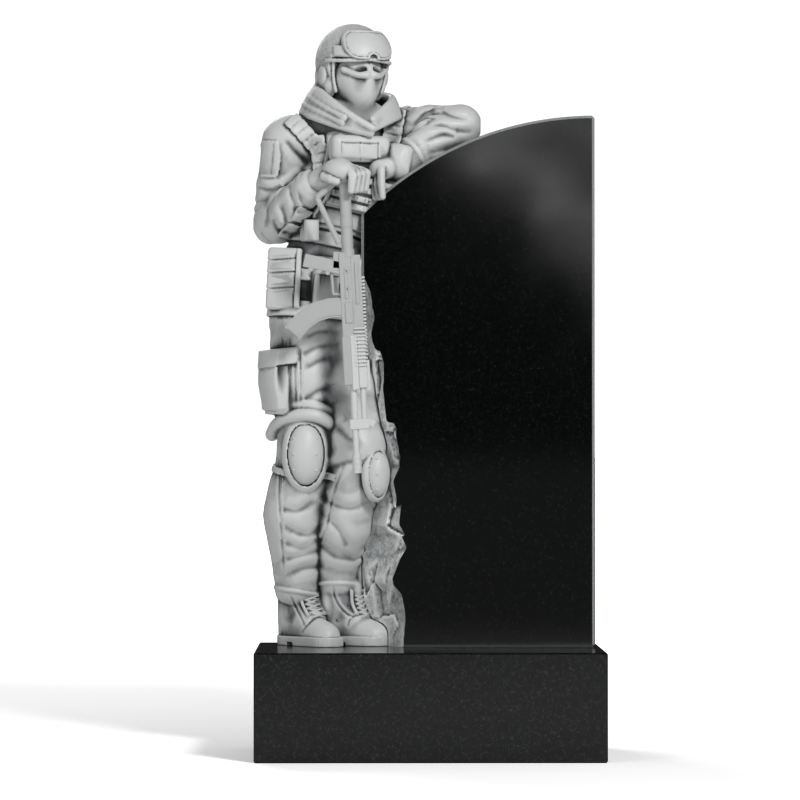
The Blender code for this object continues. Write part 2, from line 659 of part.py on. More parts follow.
def leg_room_mesh():
    """The room that the left leg and boots need in the rough stone."""
    clay = Clay()
    middle = Vector(LEFT_HIP).lerp(Vector(LEFT_KNEE), 0.5)
    more = LEG_CLEARANCE / FIGURE_SCALE
    thigh = [LEFT_HIP, middle, LEFT_KNEE]
    chain(clay, thigh, [radius + more for radius in (0.112, 0.102, 0.088)])
    chain(clay, [LEFT_KNEE, LEFT_SHIN, LEFT_ANKLE], [radius + more for radius in (0.086, 0.088, 0.078)])
    behind = [Vector(point) + Vector((0, 0.090, 0)) for point in (LEFT_KNEE, LEFT_SHIN, LEFT_ANKLE)]
    chain(clay, behind, [0.084, 0.084, 0.078])
    heel, toe = (Vector(point) for point in LEFT_SOLE)
    chain(clay, [LEFT_ANKLE, heel + UP * 0.05], [0.070 + more, 0.062 + more])
    chain(clay, [heel + UP * 0.03, toe + UP * 0.03], [0.062 + more, 0.064 + more])
    chain(clay, [heel.lerp(toe, 0.3) + UP * 0.12, toe + UP * 0.04], [0.054 + more, 0.054 + more])
    chain(clay, [(0.020, 0.010, 0.56), (0.060, 0.010, 0.43)], [0.074, 0.070])
    return scaled(clay, "leg_room")


def stele(collection, cutters, finish):
    """The polished slab with its chamfers, broken away round the soldier's legs."""
    slab = link("stele", slab_mesh("stele", 0.0, 0.0), collection, finish)
    chamfer(slab, STELE_CHAMFER)
    boolean(slab, hidden("split_away", break_mesh(), cutters), "DIFFERENCE")
    room = hidden("leg_room", leg_room_mesh(), cutters)
    fuse = room.modifiers.new("fuse", "REMESH")
    fuse.mode = "VOXEL"
    fuse.voxel_size = 0.012
    facet = room.modifiers.new("facet", "DECIMATE")
    facet.ratio = 0.10
    boolean(slab, room, "DIFFERENCE")
    return slab


def plinth(collection, finish):
    """The block that the stele and the soldier stand on."""
    clay = bmesh.new()
    size = Matrix.Diagonal((PLINTH_WIDTH, PLINTH_DEPTH, PLINTH_HEIGHT, 1))
    bmesh.ops.create_cube(clay, size=1, matrix=Matrix.Translation((0, 0, PLINTH_HEIGHT / 2)) @ size)
    made = link("plinth", mesh_of(clay, "plinth"), collection, finish)
    chamfer(made, PLINTH_CHAMFER)
    return made


def clear_scene():
    """Starts from an empty scene."""
    for old in list(bpy.data.objects):
        bpy.data.objects.remove(old, do_unlink=True)


def main():
    """Builds the memorial."""
    clear_scene()
    parts = bpy.data.collections.new("war_memorial")
    cutters = bpy.data.collections.new("cutters")
    for collection in (parts, cutters):
        bpy.context.scene.collection.children.link(collection)
    black = material("polished_black_gabbro", (0.012, 0.013, 0.014), 0.06)
    pale = material("carved_pale_gabbro", (0.42, 0.43, 0.43), 0.75)
    plinth(parts, black)
    stele(parts, cutters, black)
    figure = soldier(parts, pale)
    seat = hidden("stele_room", slab_mesh("stele_room", SIDE_GAP, SEAT_FOOT), cutters)
    boolean(figure, seat, "DIFFERENCE")


main()
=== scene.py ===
"""Looks of the war memorial: a carved soldier, a polished stele and a plinth.

Every length is in metres. Poses are given in the carver's frame, whose origin is the foot of the
stele's front left corner on top of the plinth: X to the right, Y to the back and Z up.
"""

import logging
import math
import random
from collections.abc import Callable
from dataclasses import dataclass, field
from enum import Enum

import bmesh
import bpy
import numpy as np
from mathutils import Euler, Matrix, Vector
from mathutils.bvhtree import BVHTree


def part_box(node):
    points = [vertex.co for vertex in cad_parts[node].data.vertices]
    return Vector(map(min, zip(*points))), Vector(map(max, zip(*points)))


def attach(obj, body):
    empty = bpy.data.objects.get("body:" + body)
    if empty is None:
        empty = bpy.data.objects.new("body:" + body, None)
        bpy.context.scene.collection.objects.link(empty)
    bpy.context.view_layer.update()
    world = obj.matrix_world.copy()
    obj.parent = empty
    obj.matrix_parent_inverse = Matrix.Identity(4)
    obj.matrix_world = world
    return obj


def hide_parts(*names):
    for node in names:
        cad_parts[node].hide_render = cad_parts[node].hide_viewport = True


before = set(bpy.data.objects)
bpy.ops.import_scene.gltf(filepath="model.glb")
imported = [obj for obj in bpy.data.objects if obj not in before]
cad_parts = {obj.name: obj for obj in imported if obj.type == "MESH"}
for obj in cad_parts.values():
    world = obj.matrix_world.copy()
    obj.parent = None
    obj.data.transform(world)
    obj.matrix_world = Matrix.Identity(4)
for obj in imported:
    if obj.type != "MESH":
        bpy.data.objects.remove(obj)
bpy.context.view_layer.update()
LOG = logging.getLogger("memorial")
logging.basicConfig(level=logging.INFO, format="%(name)s: %(message)s")

PLINTH_LOW, PLINTH_HIGH = (Vector(corner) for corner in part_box("plinth"))
STELE_LOW, STELE_HIGH = (Vector(corner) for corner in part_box("stele"))
SOLDIER_LOW, SOLDIER_HIGH = (Vector(corner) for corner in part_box("soldier"))
DATUM = STELE_LOW.copy()
STELE_WIDTH = STELE_HIGH.x - STELE_LOW.x
STELE_HEIGHT = STELE_HIGH.z - STELE_LOW.z
STELE_THICKNESS = STELE_HIGH.y - STELE_LOW.y
ARC_RADIUS = 0.955
BREAK_TOP = 1.050
BREAK_BITE = 0.125
BREAK_PROFILE = (
    (0.00, 1.00), (0.10, 0.95), (0.19, 0.80), (0.25, 1.00), (0.31, 0.98), (0.34, 0.83), (0.41, 0.90),
    (0.46, 0.82), (0.50, 0.97), (0.57, 0.88), (0.63, 0.66), (0.74, 0.56), (0.85, 0.33), (1.00, 0.12),
)

UP = Vector((0, 0, 1))
Point = tuple[float, float, float]
Triple = tuple[float, float, float]
Placer = Callable[[float, float, float], Point]

# How far past a shape the grid is still worked out
FOLD_REACH = 0.022
EGG_REACH = 0.012
BOX_REACH = 0.010

# The dip beside a fold: its share of the crest, its place and its width, in half widths of the fold
DIP_SHARE = 0.62
DIP_PLACE = 1.25
DIP_WIDTH = 0.50

# The crest beside a drawn crease: its place and its width, in half widths of the groove
CREST_PLACE = 1.9
CREST_WIDTH = 1.3
GROOVE_SHARPNESS = 1.4

# Depth of a fine, a middling and a broad hollow that counts as full
HOLLOW_DEPTHS = (0.0011, 0.0036, 0.0140)
DEEPEST_HOLLOW = 1.6

# Radii of the large knee pad, of the groove cut in it and of the cap inside the groove
PAD_RADII = (0.061, 0.036, 0.103)
GROOVE_RADII = (0.050, 0.038, 0.086)
CAP_RADII = (0.0466, 0.0365, 0.0813)

# The hood is a sheet of thin rolls from rim to hem, with two broad folds on it
HOOD_SHEETS = 15
HOOD_FOLDS = (0.42, 0.74)

# Radius of a sole at the heel and at the toe, and its thickness
SOLE_RADII = (0.050, 0.0520)
SOLE_HEIGHT = 0.027

# Turn of the rifle's boxes in its own plane, in degrees
RIFLE_TILT = -3.0

# The Y from which level lines are sent to find the figure's front
FRONT_START = -0.6

# How many, the first one's place and the spacing: heights of the laces, and shares down the rifle
LACE_RUNGS = (5, 0.090, 0.0125)
FORE_END_RIBS = (11, 0.502, 0.0125)
RAIL_TEETH = (24, 0.330, 0.0118)
STITCH_SPACING = 0.012


class Operation(Enum):
    """How a lump of clay meets what is already there."""

    ADD = 1
    CUT = -1


def linear(code: str) -> tuple[float, float, float, float]:
    """Turns an sRGB hex colour into linear red, green, blue and alpha.

    Args:
        code: Six hex digits after a hash.

    Returns:
        The linear colour with full alpha.
    """
    values = [int(code[place : place + 2], 16) / 255 for place in (1, 3, 5)]
    turned = [v / 12.92 if v <= 0.04045 else ((v + 0.055) / 1.055) ** 2.4 for v in values]
    return (*turned, 1.0)


def stele_top(along: float) -> float:
    """Height of the stele's top above the plinth.

    Args:
        along: Distance from the stele's left side.

    Returns:
        The height of the arc there.
    """
    reach = min(max(0.0, STELE_WIDTH - along), ARC_RADIUS)
    return STELE_HEIGHT - ARC_RADIUS + math.sqrt(ARC_RADIUS**2 - reach**2)


def resting(along: float, back: float, radius: float) -> Point:
    """Centre of a rounded limb that lies on the stele's top.

    Args:
        along: Distance from the stele's left side.
        back: Distance behind the stele's front.
        radius: The limb's radius.

    Returns:
        The centre in the carver's frame.
    """
    slope = (stele_top(along + 0.02) - stele_top(along - 0.02)) / 0.04
    return (along, back, stele_top(along) + radius * math.sqrt(1 + slope**2))


def turn_matrix(turn: Triple) -> np.ndarray:
    """The rotation for three angles in degrees, as a 3 by 3 array."""
    return np.array(Euler([math.radians(angle) for angle in turn]).to_matrix(), dtype=np.float32)


@dataclass(frozen=True)
class Fold:
    """One fold of cloth on a limb.

    Attributes:
        along: Where its middle lies, as a share of the limb.
        angle: Where its middle lies round the limb, in radians from the front.
        slope: Share of the limb that it climbs for each radian.
        spread: How far round the limb it runs, in radians.
        width: Half its width in metres.
        height: How far it stands out in metres.
    """

    along: float
    angle: float
    slope: float
    spread: float
    width: float
    height: float


def gathered(seed: int, count: int, zone: tuple[float, float], height: float, width: float) -> list[Fold]:
    """Folds scattered over a stretch of a limb.

    Args:
        seed: Fixes the scatter.
        count: How many folds.
        zone: First and last share of the limb.
        height: Greatest height.
        width: Greatest half width.

    Returns:
        The folds, in order along the limb.
    """
    chance = random.Random(seed)
    made = []
    for number in range(count):
        along = zone[0] + (zone[1] - zone[0]) * (number + chance.uniform(0.2, 0.8)) / count
        side = 1 if number % 2 else -1
        made.append(
            Fold(
                along,
                math.pi + side * chance.uniform(0.1, 1.3),
                -side * chance.uniform(0.06, 0.20),
                chance.uniform(0.6, 1.0),
                width * chance.uniform(0.6, 1.0),
                height * chance.uniform(0.55, 1.0),
            )
        )
    return made


def rounded(points: tuple | list, rounds: int = 3) -> list[tuple[float, ...]]:
    """Cuts the corners of an open line again and again, which makes it a curve.

    Args:
        points: The line's corners.
        rounds: How many times the corners are cut.

    Returns:
        The curve, with the same ends.
    """
    line = [np.array(point, dtype=float) for point in points]
    for _ in range(rounds):
        cut = [line[0]]
        for a, b in zip(line, line[1:]):
            cut += [0.75 * a + 0.25 * b, 0.25 * a + 0.75 * b]
        line = cut + [line[-1]]
    return [tuple(point) for point in line]


class Clay:
    """A block of air and stone on a grid, from which the figure's surface is taken.

    Attributes:
        low: Lowest corner of the grid in the carver's frame.
        cell: Grid spacing.
        depth: Distance to the surface at each grid point, below zero in the stone.
    """

    FAR = 0.25

    def __init__(self, low: Point, high: Point, cell: float) -> None:
        """Starts with air everywhere between two corners.

        Args:
            low: Lowest corner.
            high: Highest corner.
            cell: Grid spacing.
        """
        self.low = np.array(low, dtype=np.float32)
        self.cell = cell
        counts = np.ceil((np.array(high) - np.array(low)) / cell).astype(int) + 1
        self.depth = np.full(counts, self.FAR, dtype=np.float32)

    def window(self, low: np.ndarray, high: np.ndarray) -> tuple:
        """Finds the part of the grid between two corners.

        Args:
            low: Lowest corner.
            high: Highest corner.

        Returns:
            The slices of the grid, and the X, Y and Z of its points ready to combine.
        """
        first = np.floor((np.asarray(low) - self.low) / self.cell).astype(int)
        last = np.ceil((np.asarray(high) - self.low) / self.cell).astype(int) + 1
        first = np.clip(first, 0, self.depth.shape)
        last = np.clip(last, 0, self.depth.shape)
        spans = tuple(slice(a, b) for a, b in zip(first, last))
        axes = [self.low[n] + self.cell * np.arange(first[n], last[n], dtype=np.float32) for n in range(3)]
        return spans, axes[0][:, None, None], axes[1][None, :, None], axes[2][None, None, :]

    def merge(self, spans: tuple, shape: np.ndarray, blend: float, how: Operation) -> None:
        """Adds or cuts a shape with a soft join.

        Args:
            spans: The slices that the shape fills.
            shape: Distance to the shape's surface.
            blend: Width of the soft join.
            how: Whether the shape is added or cut away.
        """
        here = self.depth[spans] * how.value
        blend = max(blend, 1e-5)
        share = np.clip(0.5 + 0.5 * (shape - here) / blend, 0, 1)
        joined = shape * (1 - share) + here * share - blend * share * (1 - share)
        self.depth[spans] = joined * how.value

    def limb(
        self, start: Point, end: Point, radii: tuple[float, float], blend: float = 0.010,
        folds: tuple | list = (),
    ) -> None:
        """Adds a rounded, tapered limb that may be covered in folds.

        Args:
            start: Centre of its first end.
            end: Centre of its last end.
            radii: Radius at each end.
            blend: Width of the soft join.
            folds: The folds of cloth on it.
        """
        a, b = np.array(start, dtype=np.float32), np.array(end, dtype=np.float32)
        reach = max(radii) + blend + FOLD_REACH
        spans, x, y, z = self.window(np.minimum(a, b) - reach, np.maximum(a, b) + reach)
        axis = b - a
        length = float(np.linalg.norm(axis)) + 1e-6
        axis = axis / length
        px, py, pz = x - a[0], y - a[1], z - a[2]
        run = px * axis[0] + py * axis[1] + pz * axis[2]
        share = np.clip(run / length, 0, 1)
        along = share * length
        qx, qy, qz = px - along * axis[0], py - along * axis[1], pz - along * axis[2]
        radius = radii[0] + (radii[1] - radii[0]) * share
        if folds:
            across = np.cross(axis, np.array([0, -1, 0], dtype=np.float32))
            across /= np.linalg.norm(across) + 1e-6
            front = np.cross(across, axis)
            if front[1] > 0:
                front = -front
            angle = np.arctan2(
                qx * across[0] + qy * across[1] + qz * across[2],
                qx * front[0] + qy * front[1] + qz * front[2],
            )
            free = np.clip(run / length, -0.2, 1.2)
            for fold in folds:
                turned = (angle - fold.angle + np.pi) % (2 * np.pi) - np.pi
                place = (free - fold.along - fold.slope * turned) * length / fold.width
                crest = np.exp(-(place**2)) - DIP_SHARE * np.exp(-(((place - DIP_PLACE) / DIP_WIDTH) ** 2))
                radius = radius + fold.height * crest * np.exp(-((turned / fold.spread) ** 2))
        self.merge(spans, np.sqrt(qx**2 + qy**2 + qz**2) - radius, blend, Operation.ADD)

    def chain(self, points: list[Point], radii: list[float] | float, blend: float = 0.006) -> None:
        """Adds limbs end to end through points.

        Args:
            points: Centres of the ends.
            radii: One radius, or one for each point.
            blend: Width of the soft joins.
        """
        if isinstance(radii, float):
            radii = [radii] * len(points)
        for place in range(len(points) - 1):
            self.limb(points[place], points[place + 1], (radii[place], radii[place + 1]), blend)

    def egg(
        self, centre: Point, radii: Triple, turn: Triple = (0, 0, 0), blend: float = 0.010,
        how: Operation = Operation.ADD, reach_more: float = 0.0,
    ) -> None:
        """Adds an ellipsoid.

        Args:
            centre: Its centre.
            radii: Its three radii before it is turned.
            turn: Angles in degrees.
            blend: Width of the soft join.
            how: Whether it is added or cut away.
            reach_more: How much further than usual its depth is kept.
        """
        middle = np.array(centre, dtype=np.float32)
        reach = max(radii) + blend + EGG_REACH + reach_more
        spans, x, y, z = self.window(middle - reach, middle + reach)
        spin = turn_matrix(turn)
        p = (x - middle[0], y - middle[1], z - middle[2])
        local = [(p[0] * spin[0, n] + p[1] * spin[1, n] + p[2] * spin[2, n]) / radii[n] for n in range(3)]
        size = np.sqrt(local[0] ** 2 + local[1] ** 2 + local[2] ** 2)
        slope = np.sqrt(sum((local[n] / radii[n]) ** 2 for n in range(3))) + 1e-6
        self.merge(spans, size * (size - 1) / slope, blend, how)

    @staticmethod
    def slab(
        x: np.ndarray, y: np.ndarray, z: np.ndarray,
        centre: Point, size: Triple, turn: Triple, rounding: float,
    ) -> np.ndarray:
        """Distance to a turned box with rounded edges.

        Args:
            x: The X of each point.
            y: The Y of each point.
            z: The Z of each point.
            centre: The box's centre.
            size: Its full width, depth and height.
            turn: Angles in degrees.
            rounding: Radius of its edges.

        Returns:
            The distance at each point.
        """
        spin = turn_matrix(turn)
        p = (x - centre[0], y - centre[1], z - centre[2])
        gaps = []
        for n in range(3):
            local = p[0] * spin[0, n] + p[1] * spin[1, n] + p[2] * spin[2, n]
            gaps.append(np.abs(local) - (size[n] / 2 - rounding))
        outside = np.sqrt(sum(np.maximum(gap, 0) ** 2 for gap in gaps))
        inside = np.minimum(np.maximum(np.maximum(gaps[0], gaps[1]), gaps[2]), 0)
        return outside + inside - rounding

    def block(
        self, centre: Point, size: Triple, turn: Triple = (0, 0, 0), rounding: float = 0.006,
        blend: float = 0.002, how: Operation = Operation.ADD,
    ) -> None:
        """Adds a box with rounded edges.

        Args:
            centre: Its centre.
            size: Its full size.
            turn: Angles in degrees.
            rounding: Radius of its edges.
            blend: Width of the soft join.
            how: Whether it is added or cut away.
        """
        reach = float(np.linalg.norm(size)) / 2 + blend + BOX_REACH
        spans, x, y, z = self.window(np.array(centre) - reach, np.array(centre) + reach)
        self.merge(spans, self.slab(x, y, z, centre, size, turn, rounding), blend, how)

    def wrap(
        self, skin: np.ndarray, centre: Point, size: Triple, turn: Triple, offset: float,
        blend: float = 0.002,
    ) -> None:
        """Adds a layer that follows the surface below it inside a box, such as a strap or a patch.

        Args:
            skin: The grid of the surface below.
            centre: The box's centre.
            size: The box's full size.
            turn: Its angles in degrees.
            offset: Thickness of the layer.
            blend: Width of the soft join.
        """
        reach = float(np.linalg.norm(size)) / 2 + offset + BOX_REACH
        spans, x, y, z = self.window(np.array(centre) - reach, np.array(centre) + reach)
        mask = self.slab(x, y, z, centre, size, turn, min(size) * 0.12)
        self.merge(spans, np.maximum(skin[spans] - offset, mask), blend, Operation.ADD)

    def stroke(
        self, points: list[tuple[float, float]], width: float, depth: float,
        back: tuple[float, float] = (-0.2, 0.10), crest: float = 0.75,
    ) -> None:
        """Draws a crease on the front, along a line seen from the front, with a crest on one side.

        Args:
            points: The line's X and Z.
            width: Half the width of the groove.
            depth: Its depth, or below zero for a ridge.
            back: First and last Y that it reaches.
            crest: Height of the crest as a share of the depth.
        """
        flat = np.array(rounded(points), dtype=np.float32)
        low = np.array([flat[:, 0].min() - 5 * width, back[0], flat[:, 1].min() - 5 * width])
        high = np.array([flat[:, 0].max() + 5 * width, back[1], flat[:, 1].max() + 5 * width])
        spans, x, _, z = self.window(low, high)
        x, z = x[:, 0, :], z[:, 0, :]
        nearest = np.full(np.broadcast_shapes(x.shape, z.shape), 9.0, dtype=np.float32)
        ends = np.zeros_like(nearest)
        side = np.zeros_like(nearest)
        total = len(flat) - 1
        for place, (a, b) in enumerate(zip(flat, flat[1:])):
            span = b - a
            share = np.clip(((x - a[0]) * span[0] + (z - a[1]) * span[1]) / (span @ span + 1e-9), 0, 1)
            gap = np.hypot(x - a[0] - share * span[0], z - a[1] - share * span[1])
            closer = gap < nearest
            nearest = np.where(closer, gap, nearest)
            ends = np.where(closer, (place + share) / total, ends)
            facing = (span[0] * (z - a[1]) - span[1] * (x - a[0])) * np.sign(span[0] + 1e-9)
            side = np.where(closer, np.sign(facing), side)
        fade = np.sin(np.pi * np.clip(ends, 0.04, 0.96)) ** 0.6
        away = nearest * side / width
        groove = np.exp(-(away**2) * GROOVE_SHARPNESS)
        ridge = np.exp(-(((away - CREST_PLACE) / CREST_WIDTH) ** 2))
        ridge += 0.5 * np.exp(-(((away + CREST_PLACE) / CREST_WIDTH) ** 2))
        self.depth[spans] += (depth * fade * (groove - crest * ridge))[:, None, :]

    def surface(self) -> tuple[np.ndarray, np.ndarray]:
        """Takes the surface between air and stone.

        Returns:
            The points, in the carver's frame, and the four corners of each face.
        """
        grid = self.depth
        inside = grid < 0
        count = np.zeros(np.array(grid.shape) - 1, dtype=np.uint8)
        corners = [(i, j, k) for i in (0, 1) for j in (0, 1) for k in (0, 1)]
        for i, j, k in corners:
            count += inside[
                i : inside.shape[0] - 1 + i, j : inside.shape[1] - 1 + j, k : inside.shape[2] - 1 + k
            ]
        active = (count > 0) & (count < 8)
        cells = np.argwhere(active)
        number = np.full(active.shape, -1, dtype=np.int32)
        number[active] = np.arange(len(cells))
        total = np.zeros((len(cells), 3), dtype=np.float64)
        hits = np.zeros(len(cells))
        values = {c: grid[cells[:, 0] + c[0], cells[:, 1] + c[1], cells[:, 2] + c[2]] for c in corners}
        for axis in range(3):
            for c in corners:
                if c[axis]:
                    continue
                other = tuple(1 if n == axis else c[n] for n in range(3))
                first, second = values[c], values[other]
                crossed = (first < 0) != (second < 0)
                share = np.where(crossed, first / np.where(crossed, first - second, 1), 0)
                spot = np.repeat(np.array([c], dtype=np.float64), len(cells), axis=0)
                spot[:, axis] += share
                total += spot * crossed[:, None]
                hits += crossed
        points = self.low + self.cell * (cells + total / hits[:, None])
        faces = []
        for axis in range(3):
            u, v = (axis + 1) % 3, (axis + 2) % 3
            low = [slice(1, -1)] * 3
            low[axis] = slice(0, -1)
            high = list(low)
            high[axis] = slice(1, None)
            changed = inside[tuple(low)] != inside[tuple(high)]
            start = np.argwhere(changed)
            filled = inside[tuple(low)][changed]
            base = start + 1
            base[:, axis] -= 1
            ring = []
            for du, dv in ((1, 1), (0, 1), (0, 0), (1, 0)):
                place = base.copy()
                place[:, u] -= du
                place[:, v] -= dv
                ring.append(number[place[:, 0], place[:, 1], place[:, 2]])
            quads = np.stack(ring, axis=1)
            quads[~filled] = quads[~filled][:, ::-1]
            faces.append(quads)
        return points, np.concatenate(faces)


def mesh_from(name: str, points: np.ndarray, faces: np.ndarray) -> bpy.types.Mesh:
    """Makes a mesh from arrays, moved to its place on the plinth.

    Args:
        name: The mesh's name.
        points: Points in the carver's frame.
        faces: The four corners of each face.

    Returns:
        The mesh.
    """
    made = bpy.data.meshes.new(name)
    made.vertices.add(len(points))
    made.vertices.foreach_set("co", (points + np.array(DATUM)).astype(np.float32).ravel())
    made.loops.add(faces.size)
    made.loops.foreach_set("vertex_index", faces.astype(np.int32).ravel())
    made.polygons.add(len(faces))
    made.polygons.foreach_set("loop_start", np.arange(0, faces.size, 4, dtype=np.int32))
    made.update(calc_edges=True)
    made.validate()
    return made


def link(name: str, mesh: bpy.types.Mesh) -> bpy.types.Object:
    """Puts a mesh in the scene as an object.

    Args:
        name: The object's name.
        mesh: Its mesh.

    Returns:
        The object.
    """
    made = bpy.data.objects.new(name, mesh)
    bpy.context.scene.collection.objects.link(made)
    return made


def settle(piece: bpy.types.Object) -> bpy.types.Object:
    """Turns an object's modifiers into its mesh.

    Args:
        piece: The object.

    Returns:
        The same object, with a plain mesh and no modifiers.
    """
    graph = bpy.context.evaluated_depsgraph_get()
    made = bpy.data.meshes.new_from_object(piece.evaluated_get(graph))
    piece.modifiers.clear()
    piece.data = made
    return piece


def measure_recess(mesh: bpy.types.Mesh, rounds: tuple[int, ...] = (6, 30, 110)) -> None:
    """Stores how deep each point lies among its neighbours, which the stone's finishes read to paint shade
    into hollows and highlight onto crests.

    Args:
        mesh: The mesh that gets an attribute named recess.
        rounds: How many times the shape is smoothed for each size of hollow.
    """
    count = len(mesh.vertices)
    edges = np.empty(len(mesh.edges) * 2, dtype=np.int32)
    mesh.edges.foreach_get("vertices", edges)
    a, b = edges[0::2], edges[1::2]
    spots = np.empty(count * 3, dtype=np.float32)
    mesh.vertices.foreach_get("co", spots)
    spots = spots.reshape(-1, 3).astype(np.float64)
    normals = np.empty(count * 3, dtype=np.float32)
    mesh.vertex_normals.foreach_get("vector", normals)
    normals = normals.reshape(-1, 3)
    degree = np.bincount(np.concatenate([a, b]), minlength=count).clip(1)
    moved = spots.copy()
    recess = np.zeros(count)
    done = 0
    for goal, reach in zip(rounds, HOLLOW_DEPTHS):
        for _ in range(goal - done):
            total = np.stack(
                [
                    np.bincount(a, moved[b, n], count) + np.bincount(b, moved[a, n], count)
                    for n in range(3)
                ],
                1,
            )
            moved = 0.5 * moved + 0.5 * total / degree[:, None]
        done = goal
        hollow = ((moved - spots) * normals).sum(axis=1) / reach
        recess += np.clip(hollow, -1, DEEPEST_HOLLOW) / len(HOLLOW_DEPTHS)
    stored = mesh.attributes.new("recess", "FLOAT", "POINT")
    stored.data.foreach_set("value", np.clip(0.5 + 0.5 * recess, 0, 1).astype(np.float32))


def add_node(
    tree: bpy.types.NodeTree, kind: str, settings: dict | None = None, **links: object
) -> bpy.types.Node:
    """Adds one node with its settings, values and links.

    Args:
        tree: The node tree.
        kind: The node's type.
        settings: Properties of the node itself, with a colour ramp's places and hex colours as stops.
        **links: Socket name, with underscores for spaces, to a value or to another node's output.

    Returns:
        The node.
    """
    made = tree.nodes.new(kind)
    for name, value in (settings or {}).items():
        if name == "stops":
            paint(made.color_ramp, value)
        else:
            setattr(made, name, value)
    for name, value in links.items():
        if name.startswith("at_"):
            socket = made.inputs[int(name[3:])]
        else:
            socket = made.inputs[name.replace("_", " ")]
        if isinstance(value, bpy.types.NodeSocket):
            tree.links.new(value, socket)
        else:
            socket.default_value = value
    return made


def paint(band: bpy.types.ColorRamp, stops: list[tuple[float, str]]) -> None:
    """Sets the colours along a band.

    Args:
        band: The band of colours.
        stops: Places from 0 to 1 and their sRGB hex colours.
    """
    while len(band.elements) < len(stops):
        band.elements.new(0.5)
    for element, (place, code) in zip(band.elements, stops):
        element.position = place
        element.color = linear(code)


def start_finish(
    name: str,
) -> tuple[bpy.types.Material, bpy.types.NodeTree, bpy.types.Node, bpy.types.NodeSocket]:
    """Starts a material whose patterns read the object's own place.

    Args:
        name: The material's name.

    Returns:
        The material, its node tree, its shader and the place on the object.
    """
    made = bpy.data.materials.new(name)
    made.use_nodes = True
    tree = made.node_tree
    place = add_node(tree, "ShaderNodeTexCoord").outputs["Object"]
    return made, tree, tree.nodes["Principled BSDF"], place


@dataclass(frozen=True)
class CarvedStone:
    """Pale gabbro, carved with chisels and rubbed smooth. It has a soft sheen, and painted shade in its
    hollows.

    The eye gets pale crests with painted highlight, hollows darkened with painted shade, faint clouds of
    tone and a fine grain. Real grains are under a millimetre and too fine to show, so the grain is drawn
    coarser.
    """

    name: str = "carved_rubbed_gabbro"
    # The crest colour is paler than the face colour, a painted highlight on the crests
    crest: str = "#D6D7D7"
    face: str = "#B4B6B6"
    grain_mm: float = 2.2
    cloud_mm: float = 60.0
    roughness: float = 0.58
    bump_mm: float = 0.25
    paints_edge_shade: bool = False

    def make(self) -> bpy.types.Material:
        """Builds the material.

        Returns:
            The finish.
        """
        made, tree, shader, place = start_finish(self.name)
        # Pointiness can stand in for the recess, for a painted highlight on convex edges and painted shade
        # in concave corners
        if self.paints_edge_shade:
            recess = self.painted_edge_shade(tree)
        else:
            # How deep each point lies, read for painted shade in hollows and painted highlight on crests
            recess = add_node(tree, "ShaderNodeAttribute", {"attribute_name": "recess"}).outputs["Fac"]
        grain = add_node(
            tree, "ShaderNodeTexNoise", Vector=place, Scale=1000 / self.grain_mm / 2, Detail=3.0
        )
        cloud = add_node(tree, "ShaderNodeTexNoise", Vector=place, Scale=1000 / self.cloud_mm, Detail=4.0)
        speck = add_node(
            tree, "ShaderNodeMath", {"operation": "MULTIPLY_ADD"},
            at_0=grain.outputs["Fac"], at_1=0.10, at_2=-0.05,
        )
        mottled = add_node(
            tree, "ShaderNodeMath", {"operation": "MULTIPLY_ADD"},
            at_0=cloud.outputs["Fac"], at_1=0.16, at_2=speck.outputs[0],
        )
        shift = add_node(
            tree, "ShaderNodeMath", {"operation": "SUBTRACT"}, at_0=mottled.outputs[0], at_1=0.08
        )
        depth = add_node(tree, "ShaderNodeMath", {"operation": "ADD"}, at_0=recess, at_1=shift.outputs[0])
        # Crests, with low values, get the pale crest colour as painted highlight; hollows, with high values,
        # get the three dark stops as painted shade
        stops = [
            (0.30, self.crest), (0.47, self.face), (0.60, "#8C8F90"), (0.75, "#565859"), (0.92, "#242526"),
        ]
        colour = add_node(tree, "ShaderNodeValToRGB", {"stops": stops}, Fac=depth.outputs[0])
        tree.links.new(colour.outputs["Color"], shader.inputs["Base Color"])
        rough = add_node(
            tree, "ShaderNodeMath", {"operation": "MULTIPLY_ADD", "use_clamp": True},
            at_0=depth.outputs[0], at_1=0.35, at_2=self.roughness - 0.17,
        )
        tree.links.new(rough.outputs[0], shader.inputs["Roughness"])
        bump = add_node(
            tree, "ShaderNodeBump", Height=grain.outputs["Fac"], Distance=self.bump_mm / 1000, Strength=1.0
        )
        tree.links.new(bump.outputs["Normal"], shader.inputs["Normal"])
        return made

    def painted_edge_shade(self, tree: bpy.types.NodeTree) -> bpy.types.NodeSocket:
        """Gives a value that falls on convex edges, for a painted highlight, and rises in concave corners,
        for painted shade.

        Args:
            tree: The material's node tree.

        Returns:
            The value, near a half on flat faces.
        """
        pointed = add_node(tree, "ShaderNodeNewGeometry").outputs["Pointiness"]
        return add_node(
            tree, "ShaderNodeMapRange", Value=pointed, From_Min=0.47, From_Max=0.53, To_Min=0.80, To_Max=0.14
        ).outputs["Result"]


